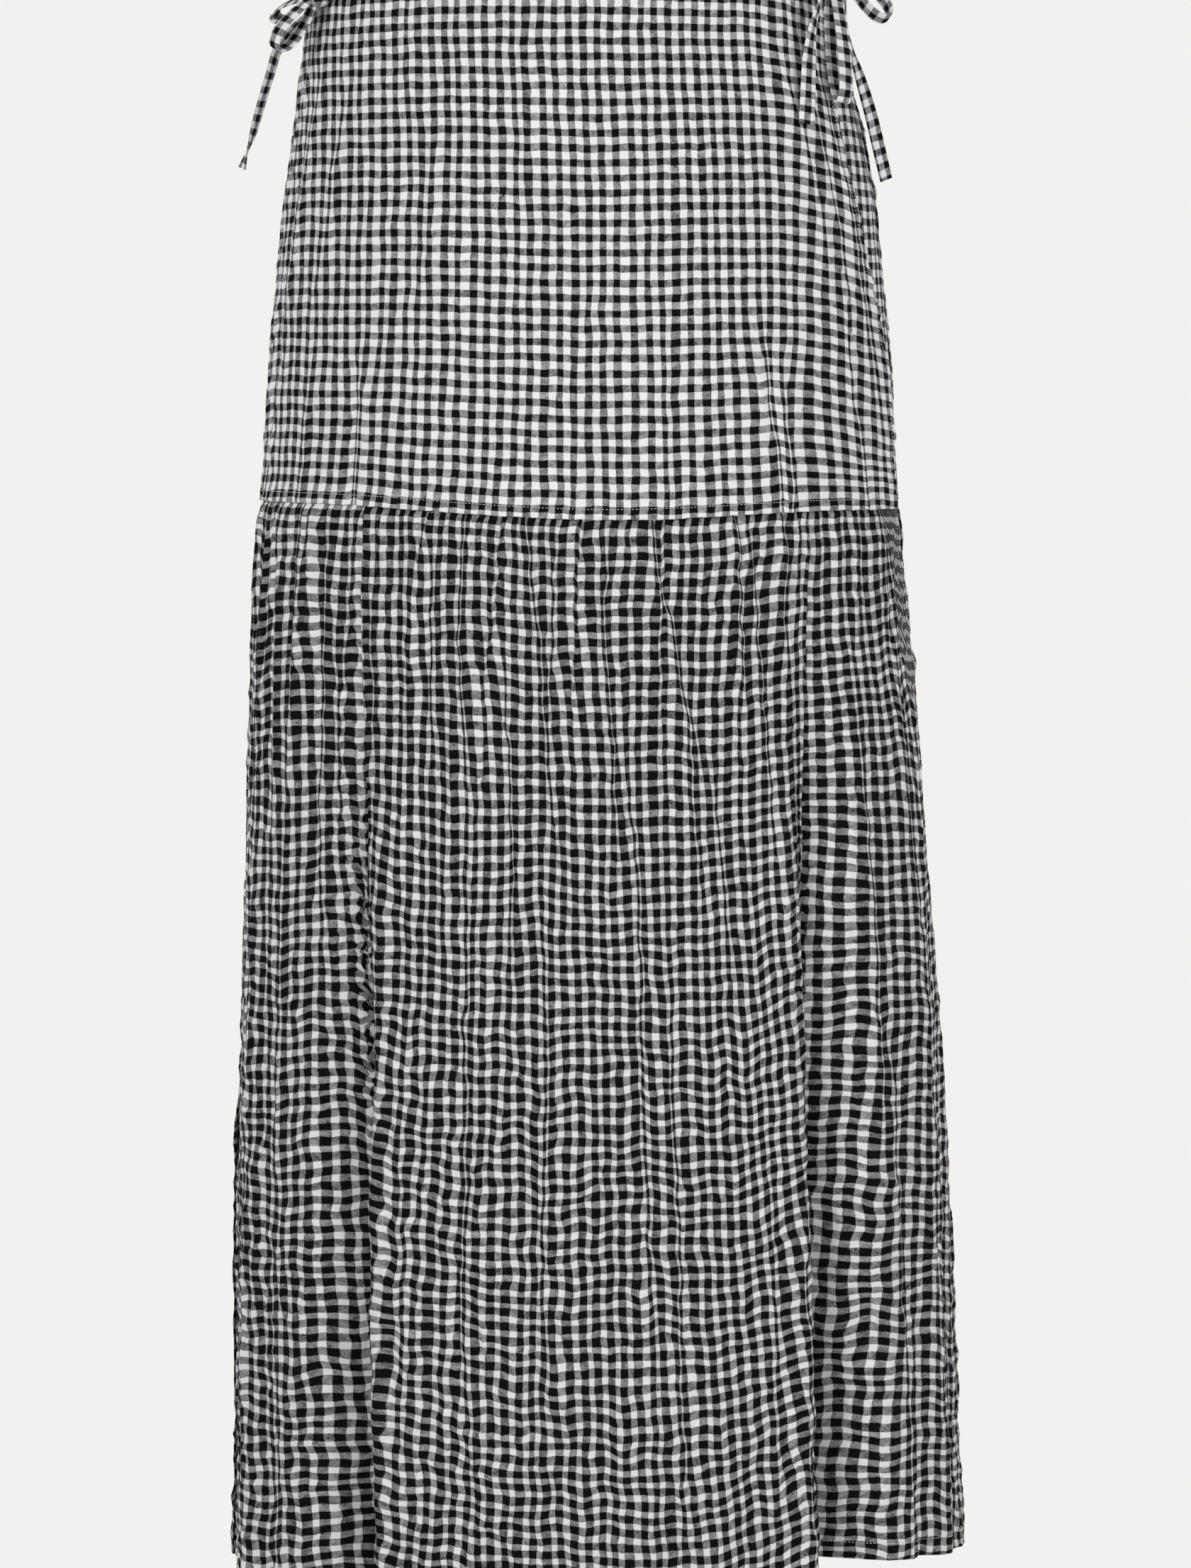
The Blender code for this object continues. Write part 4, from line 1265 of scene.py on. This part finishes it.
def tier_checks(turn, drop, skin, wide, creases, seed, at_edge=0.0, phase=(0.0, 0.0)):
    """Columns share the panel's width in checks by the metres over the form along each level, with
    more of them in valleys between gathers and short cuts at tucks and creases; what is over is
    gathered at the free edge for the share at_edge. Rows share its length, counted down from the
    seam, slip at the tucks, and wave where the cloth is crumpled."""
    off, relief, under = skin(turn, drop)
    metres = walked(form(turn, drop, off, under), 0)
    _, taken = crease_marks(creases, turn, drop, seed)
    hidden, slip = tuck_marks(turn, drop)
    below = drop - seam_drop(turn)
    aside = smooth((np.abs(turn) - 24) / 20) * smooth((94 - np.abs(turn)) / 24)
    fullness = 1 + FULLER * (1 - crests(turn, drop)) * bell(below / FULLER_DOWN)
    fullness = fullness * (1 - FEWER * aside)
    step = np.diff(metres, axis=0) * 0.5 * (fullness[1:] + fullness[:-1]) / CHECK
    raw = np.concatenate([np.zeros((1, turn.shape[1])), np.cumsum(step, axis=0)])
    over = wide - raw[-1]
    ramp = smooth((metres - metres[-1] + SQUEEZED_WIDE) / SQUEEZED_WIDE)
    u = raw * (1 + (1 - at_edge) * over / raw[-1]) + (taken + hidden) + at_edge * over * ramp
    u = u + 70 * relief
    s = below / (hem_drop(turn) - seam_drop(turn))
    v = -TIER_ROWS * (0.98 * s + 0.02 * s * s) + slip + 55 * relief * smooth((below - 0.01) / 0.03)
    calm = smooth(below / 0.02)
    side = smooth((38 - from_side(turn)) / 26)
    rough = calm * np.maximum(side, 0.7 * smooth((drop - 0.44) / 0.25))
    waves = 0.38 * calm * ripple(u / 5.5, v / 8.0, seed + 8)
    v = v + waves + 0.36 * rough * ripple(u / 1.6, v / 4.5, seed + 9)
    v = v + 0.20 * rough * ripple(u / 1.4, v / 1.3, seed + 11)
    u = u + 0.12 * rough * ripple(u / 1.8, v / 1.6, seed + 10)
    kinks = 0.42 * by_seam(turn, drop)
    across, along_it = ripple(u / 0.9, v / 0.8, seed + 12), ripple(u / 0.8, v / 0.9, seed + 13)
    u, v = u + kinks * across, v + kinks * along_it
    u2, v2 = wandering(u, v, seed, 0.09, 0.10)
    return np.stack([u2 + phase[0], v + (v2 - v) * calm + phase[1]], -1)


def tier_top(turn):
    """The tier's upper edge, a little way up behind the yoke's folded edge."""
    return yoke_edge(turn) - 0.003


def tier_hem(turn):
    """The tier's lower edge, less the round of its hem."""
    return hem_drop(turn) - FOLD_ROUND


def over_hem(turn):
    """The drop of the stitches above the hem."""
    return hem_drop(turn) - HEM_UP + 0.001


# Each tier panel: its two edges, its grid, how evenly it is spaced, its width in checks, the share
# of what is over that is squeezed beside the free edge, where its pattern starts, how far its ends
# run on under the next panel, where its stitches start and end, and its layer
HEM_END = edge_turn(np.array([0.955]))[0] - 2.5
RIGHT_MARGIN = RIGHT_SIDE + SIDE_MARGIN
LEFT_MARGIN = LEFT_SIDE + 360 - SIDE_MARGIN
left_seam, right_seam, back_right_seam, back_left_seam = (
    fold_line(fold) for fold in (LEFT_FOLD, RIGHT_FOLD, BACK_RIGHT_FOLD, BACK_LEFT_FOLD)
)
tier_pieces = (
    (
        "front_left", fixed(LEFT_SIDE), left_seam, (165, 215), 0.5, 17.0, 0.0, (0.3, 0.35),
        (0.0015, 0.0013), (LEFT_SIDE + SIDE_MARGIN, -42.6), "outer_front",
    ),
    (
        "front_centre", left_seam, right_seam, (375, 248), 0.75, 41.0, 0.0, (0.1, 0.0),
        (0.0, 0.0), (-40.6, 42.4), "outer_front",
    ),
    (
        "front_right", right_seam, edge_turn, (175, 215), 0.5, 23.0, 0.8, (0.4, 0.0),
        (0.0013, 0.0), (44.4, HEM_END), "outer_front",
    ),
    (
        "back_right", fixed(RIGHT_SIDE), back_right_seam, (125, 190), 0.5, 22.0, 0.0, (0.0, 0.1),
        (0.0, 0.0013), (RIGHT_MARGIN, 136.0), "back",
    ),
    (
        "back_centre", back_right_seam, back_left_seam, (220, 175), 0.6, 43.0, 0.0, (0.2, 0.0),
        (0.0, 0.0), (138.0, 222.0), "back",
    ),
    (
        "back_left", back_left_seam, fixed(LEFT_SIDE + 360), (125, 190), 0.5, 22.0, 0.0, (0.4, 0.2),
        (0.0013, 0.0015), (224.0, LEFT_MARGIN), "back",
    ),
)
layers = {
    "outer_front": (tier_skin, TIER_CREASES, 51),
    "back": (back_tier_skin, BACK_TIER_CREASES, 66),
}
for row in tier_pieces:
    panel, start, end, (across, down), even, wide, at_edge, phase, runs_under, sewn, layer = row
    skin, creases, seed = layers[layer]
    shares = columns(start(LOW), end(LOW), across, even)
    rows = np.linspace(0, 1, down) ** 1.15
    turn, drop = panel_grid(start, end, shares, rows, tier_top, tier_hem, False, runs_under)
    checks = tier_checks(turn, drop, skin, wide, creases, seed, at_edge, phase)
    end_hem = EDGE_HEM if end is edge_turn else ALLOWANCE
    turns_in = (ALLOWANCE, end_hem, ALLOWANCE, HEM_UP)
    # The tier's panels take the cotton with painted shade among the gathers.
    piece = sheet_of_cloth(
        "tier_" + panel, turn, drop, checks, skin, turns_in, gathered_cotton_painted_shade, crumpled=by_seam
    )
    lines = [across_line(skin, *sewn, over_hem)]
    if end is edge_turn:
        lines.append(down_line(skin, 0.342, 0.952, beside_edge))
    stitched = stitching("topstitch_tier_" + panel, lines)
    flat = (wide * CHECK + ALLOWANCE + end_hem, TIER_LONG)

# The hidden front's tier is a single panel, with no joins for the cloth to crumple along
UNDER_CHECKS = 72.0
start, end, skin = fixed(UNDER_END), fixed(RIGHT_SIDE), under_tier_skin
shares = columns(UNDER_END, RIGHT_SIDE, 172, 0.45)
rows = np.linspace(0, 1, 116) ** 1.1
turn, drop = panel_grid(start, end, shares, rows, tier_top, tier_hem, True)
checks = tier_checks(turn, drop, skin, UNDER_CHECKS, TIER_CREASES, 73)
turns_in = (EDGE_HEM, ALLOWANCE, ALLOWANCE, HEM_UP)
piece = sheet_of_cloth("tier_under_front", turn, drop, checks, skin, turns_in, gathered_cotton_painted_shade)
sewn = across_line(skin, UNDER_END + 3, RIGHT_SIDE - SIDE_MARGIN, over_hem)
stitching("topstitch_tier_under_front", [sewn])


# Waistband: a band folded along its top and stitched to the yoke, straight on the form and a little
# proud of it. Its two ends, at the free edge and beneath, carry the ties.
# Its thickness when folded, the round of its folds, its mean radius, how far from each edge it is
# stitched, and the cloth's own thickness
BAND_WALL = 0.0020
BAND_ROUND = 0.5 * BAND_WALL
BAND_RADIUS = 0.14
BAND_STITCH = 0.0022
CLOTH_THICK = 0.0004


def tube_piece(name, rings, checks, material):
    """A closed tube from rings of points along it, with flat ends, and its places in checks, which
    have one more column than the ring so that the pattern runs on all round."""
    long, round_it = rings.shape[:2]
    v = np.arange(long * round_it).reshape(long, round_it)
    v = np.concatenate([v, v[:, :1]], 1)
    w = np.arange(long * (round_it + 1)).reshape(long, round_it + 1)
    ends = [v[0, :-1][::-1].tolist(), v[-1, :-1].tolist()]
    order = np.concatenate([quads(w).ravel(), w[0, :-1][::-1], w[-1, :-1]])
    places = checks.reshape(-1, 2)[order]
    piece = surface("cloth_" + name, rings, quads(v).tolist() + ends, material, places, flat=2)
    dressed(piece, name)
    return piece


def band_profile():
    """Drops and depths round the band: down its face, round its foot, up inside, over its top."""
    half_turn = np.linspace(0, np.pi, 6)[1:-1]
    foot, top = BAND_DEEP - GAP - BAND_ROUND, BAND_ROUND
    face = np.linspace(top, foot, 12)
    bulge, turned_in = BAND_ROUND * np.sin(half_turn), BAND_ROUND * np.cos(half_turn)
    drops = [face, foot + bulge, face[::-1], top - bulge]
    depths = [0 * face, BAND_ROUND - turned_in, 0 * face + BAND_WALL, BAND_ROUND + turned_in]
    return np.concatenate(drops), np.concatenate(depths)


def band_relief(turn, drop):
    """Small puckers along the band's two lines of stitches."""
    metres = np.radians(turn) * BAND_RADIUS
    lines = bell((drop - 0.002) / 0.003) + bell((drop - BAND_DEEP + 0.002) / 0.003)
    return 0.00025 * (1 + ripple(metres / 0.006, drop / 0.012, 79)) - 0.0003 * lines


def band_skin(off, sign):
    """The waistband's face over a layer, with its puckers outwards or inwards."""
    return lambda turn, drop: (off(turn) + BAND_PROUD, sign * band_relief(turn, drop), False)


# Each band: its two edges, its layer, which way its puckers stand, its grid, where its stitches
# start and end, and the length it is cut to
band_pieces = (
    ("outer_front", fixed(LEFT_SIDE), edge_turn, outer_off, 1, 170, (LEFT_SIDE + 0.5, 64.0), 0.363),
    (
        "back", fixed(RIGHT_SIDE), fixed(LEFT_SIDE + 360), back_off, 1, 150,
        (RIGHT_SIDE + 0.5, LEFT_SIDE + 359.5), 0.394,
    ),
    (
        "under_front", fixed(UNDER_END), fixed(RIGHT_SIDE), under_off, -1, 120,
        (UNDER_END + 1, RIGHT_SIDE - 0.5), 0.387,
    ),
)
drops, depths = band_profile()
for layer, start, end, off, sign, across, sewn, cut in band_pieces:
    shares = np.linspace(0, 1, across + 1)[:, None]
    first, last = start(drops), end(drops)
    edge = 0.5 * GAP / stride(first, drops)
    turn = first + edge + (last - first - 2 * edge) * shares
    drop, sunk = drops + 0 * turn, depths + 0 * turn
    relief = sign * band_relief(turn, drop) * (sunk == 0)
    rings = form(turn, drop, off(turn) + BAND_PROUD)
    rings = rings + outward(turn, drop) * (relief - sunk)[..., None]
    u = walked(rings, 0) / CHECK
    v = 0.5 - walked(np.concatenate([rings, rings[:, :1]], 1), 1) / CHECK
    checks = np.stack([np.concatenate([u, u[:, :1]], 1), v], -1)
    piece = tube_piece("waistband_" + layer, rings, checks, cotton)
    thick = piece.modifiers.new("thickness", "SOLIDIFY")
    thick.thickness = CLOTH_THICK
    thick.offset = -1.0
    skin = band_skin(off, sign)
    heights = (BAND_DEEP - BAND_STITCH, BAND_STITCH)
    lines = [across_line(skin, *sewn, fixed(height)) for height in heights]
    stitched = stitching("topstitch_waistband_" + layer, lines)


# Ties: narrow tubes of the same gingham, turned right side out and pressed flat. Two come off the
# waistband at each side and are tied in a bow: a small pulled knot, two loops and two free ends.
# A tie's width and half its thickness, how long a drawn-in end is, and a knot's half sizes and the
# power that squares it
TIE_WIDE = 0.0100
TIE_THICK = 0.0013
PULLED_LONG = 0.008
KNOT_SIZE = (0.0068, 0.0062, 0.0070)
KNOT_SQUARE = 0.85
# Each knot's place, and each loop's start from it, tip, spread and opening
KNOTS = {"left": (-66.0, 0.0465, 0.0090), "right": (67.0, 0.0345, 0.0098)}
LOOP_CUT = 0.085
LOOPS = {
    "left": (
        ("front", (-0.0032, -0.0040, -0.0034), (-67.0, 0.0800, 0.0300), (0.55, 0.67, -0.50), 0.0125),
        ("back", (-0.0036, 0.0032, -0.0021), (-83.0, 0.0590, 0.0210), (0.45, 0.30, -0.85), 0.0080),
    ),
    "right": (
        ("outer", (0.0080, -0.0008, 0.0012), (70.5, 0.0640, 0.0365), (0.55, 0.55, 0.60), 0.0125),
        ("front", (0.0002, 0.0008, -0.0042), (59.2, 0.1094, 0.0140), (0.60, -0.80, 0.0), 0.0105),
    ),
}
TIE = "turn drop off twist"
TAILS = {
    "bow_left_tail_front": table(
        TIE,
        (-68.4, 0.0524, 0.0069, 40),
        (-72.4, 0.0610, 0.0125, 45),
        (-74.0, 0.0705, 0.0176, 45),
        (-74.0, 0.0802, 0.0220, 47),
        (-74.0, 0.0916, 0.0240, 47),
        (-75.0, 0.1040, 0.0258, 45),
        (-76.0, 0.1160, 0.0272, 42),
        (-76.5, 0.1270, 0.0284, 34),
        (-76.5, 0.1365, 0.0301, 15),
        (-77.0, 0.1476, 0.0317, -12),
    ),
    "bow_left_tail_back": table(
        TIE,
        (-70.6, 0.0462, 0.0029, 0),
        (-77.0, 0.0550, 0.0018, 0),
        (-87.0, 0.0670, 0.0018, 0),
        (-96.0, 0.0790, 0.0022, 0),
        (-103.0, 0.0940, 0.0040, 0),
        (-107.0, 0.1110, 0.0045, 0),
        (-109.0, 0.1310, 0.0055, 0),
    ),
    "bow_right_tail_front": table(
        TIE,
        (64.6, 0.0380, 0.0129, -10),
        (57.2, 0.0500, 0.0156, -40),
        (54.3, 0.0655, 0.0130, -23),
        (52.3, 0.0860, 0.0100, 3),
        (50.9, 0.1000, 0.0090, 10),
        (48.7, 0.1210, 0.0080, 15),
    ),
    "bow_right_tail_side": table(
        TIE,
        (70.4, 0.0404, 0.0099, 40),
        (72.0, 0.0600, 0.0085, -8),
        (73.0, 0.0760, 0.0090, -6),
        (75.0, 0.0930, 0.0096, 18),
        (77.0, 0.1120, 0.0098, 32),
        (78.5, 0.1320, 0.0098, 36),
        (80.0, 0.1510, 0.0100, 35),
    ),
    "bow_left_strap_front": table(
        TIE,
        (-56.0, 0.0260, 0.0026, 0),
        (-60.0, 0.0330, 0.0045, 0),
        (-63.6, 0.0407, 0.0090, 0),
    ),
    "bow_left_strap_back": table(
        TIE,
        (-82.0, 0.0260, 0.0019, 0),
        (-75.0, 0.0318, 0.0045, 0),
        (-68.2, 0.0406, 0.0083, 0),
    ),
    "bow_right_strap_front": table(
        TIE,
        (58.5, 0.0200, 0.0041, 0),
        (61.5, 0.0240, 0.0058, 0),
        (64.6, 0.0290, 0.0098, 0),
    ),
    "bow_right_strap_back": table(
        TIE,
        (84.0, 0.0200, 0.0014, 0),
        (77.0, 0.0240, 0.0055, 0),
        (69.6, 0.0290, 0.0095, 0),
    ),
}
# Which column of checks each tie shows first, and how its width is drawn in at its two ends
TIE_PATTERN = {
    "bow_left_tail_front": (-0.10, 0.35, 0.0),
    "bow_left_tail_back": (0.30, 0.35, 0.0),
    "bow_right_tail_front": (0.155, 0.30, 0.0),
    "bow_right_tail_side": (0.45, 0.30, 0.0),
    "bow_left_strap_front": (0.0, 0.0, 0.3),
    "bow_left_strap_back": (0.2, 0.0, 0.3),
    "bow_right_strap_front": (0.0, 0.0, 0.3),
    "bow_right_strap_back": (0.2, 0.0, 0.3),
}
tie_cotton = gingham_cloth("gingham_cotton_ties", softness=0.04, crinkle_high=0.0003)


def ribbon(name, path, wide_way, first_column, drawn_in, seed):
    """A flat tube along a path: its section is a flattened round, as wide as a tie and drawn in
    towards an end that is pulled tight, with small dents along it."""
    ahead = unit(np.gradient(path, axis=0))
    wide_way = unit(wide_way - (wide_way * ahead).sum(1, keepdims=True) * ahead)
    face_way = np.cross(ahead, wide_way)
    steps = walked(path, 0)
    pulled = drawn_in[0] * bell(steps / PULLED_LONG)
    pulled = (pulled + drawn_in[1] * bell((steps[-1] - steps) / PULLED_LONG))[:, None]
    around = np.linspace(0, 2 * np.pi, 21)
    x = 0.5 * np.sign(np.cos(around)) * np.abs(np.cos(around)) ** 0.5
    y = 0.5 * np.sign(np.sin(around)) * np.abs(np.sin(around)) ** 0.8
    wide = TIE_WIDE * (1 - pulled) * x[None, :]
    dents = 1 + 0.22 * ripple(steps[:, None] / 0.007, x[None, :] * 2.5 + 5, seed)
    thick = TIE_THICK * (1 + 1.2 * pulled) * y[None, :] * dents
    rings = path[:, None] + wide_way[:, None] * wide[..., None]
    rings = rings + face_way[:, None] * thick[..., None]
    u = np.where(np.sin(around) >= -1e-9, 0.5 - x, 1.5 + x) * TIE_WIDE / CHECK + first_column
    v = -steps[:, None] / CHECK + 0.25 * seed
    checks = np.stack(np.broadcast_arrays(u, v), -1)
    piece = tube_piece(name, rings[:, :-1], checks, tie_cotton)


def place_at(turn, drop, off):
    """A point that stands off the form by a distance."""
    turn, drop = np.array(turn, float), np.array(drop, float)
    return form(turn, drop) + outward(turn, drop) * off


def loop_path(start, tip, spread, opening, count=65):
    """A bow's loop from the knot to its tip and back: a cosine out and back, a sine aside."""
    spread = np.array(spread)
    way = tip - start
    spread = spread - way * (spread @ way) / (way @ way)
    spread /= np.linalg.norm(spread)
    t = np.linspace(LOOP_CUT, 1 - LOOP_CUT, count)[:, None]
    out = 0.5 - 0.5 * np.cos(2 * np.pi * t)
    side = 0.5 * opening * np.sin(2 * np.pi * t) * (0.58 + 0.72 * out)
    return start + way * out + spread * side


def knot_ball():
    """A knot about the origin: a ball squared off by a power, with small folds that wind round it,
    and its place in checks, five round and two from end to end."""
    tall = np.linspace(0.04, np.pi - 0.04, 25)[:, None]
    around = np.linspace(0, 2 * np.pi, 33)[None, :]
    ball = np.stack(np.broadcast_arrays(
        np.sin(tall) * np.cos(around), np.sin(tall) * np.sin(around), -np.cos(tall)
    ), -1)
    folds = 1 + 0.05 * np.cos(5 * around + 4 * tall) * np.sin(tall)
    folds = folds + 0.03 * np.cos(9 * tall + 2 * around)
    ball = np.sign(ball) * np.abs(ball) ** KNOT_SQUARE * np.array(KNOT_SIZE) * folds[..., None]
    checks = np.stack(np.broadcast_arrays(around / (2 * np.pi) * 5.0, -np.cos(tall) * 0.9), -1)
    return ball[:, :-1], checks


for side, middle in KNOTS.items():
    knot = place_at(*middle)
    for k, (loop, leaves, tip, spread, opening) in enumerate(LOOPS[side]):
        start = knot + np.array(leaves)
        path = loop_path(start, place_at(*tip), spread, opening)
        across = np.cross(place_at(*tip) - start, np.array(spread))
        name = f"bow_{side}_loop_{loop}"
        ribbon(name, path, np.tile(across, (len(path), 1)), 0.1, (0.25, 0.25), 81 + k)
    ball, checks = knot_ball()
    tube_piece(f"bow_{side}_knot", ball + knot, checks, tie_cotton)

for seed, (name, rows) in enumerate(TAILS.items()):
    path = place_at(rows["turn"], rows["drop"], rows["off"][:, None])
    steps = walked(path, 0)
    at = np.linspace(0, steps[-1], max(14, int(steps[-1] / 0.0018)))
    path = np.stack([along(at, steps, path[:, k]) for k in range(3)], 1)
    n = outward(along(at, steps, rows["turn"]), along(at, steps, rows["drop"]))
    twist = np.radians(along(at, steps, rows["twist"]))[:, None]
    flat = unit(np.cross(n, np.gradient(path, axis=0)))
    first_column, *drawn_in = TIE_PATTERN[name]
    ribbon(name, path, np.cos(twist) * flat + np.sin(twist) * n, first_column, drawn_in, 91 + seed)
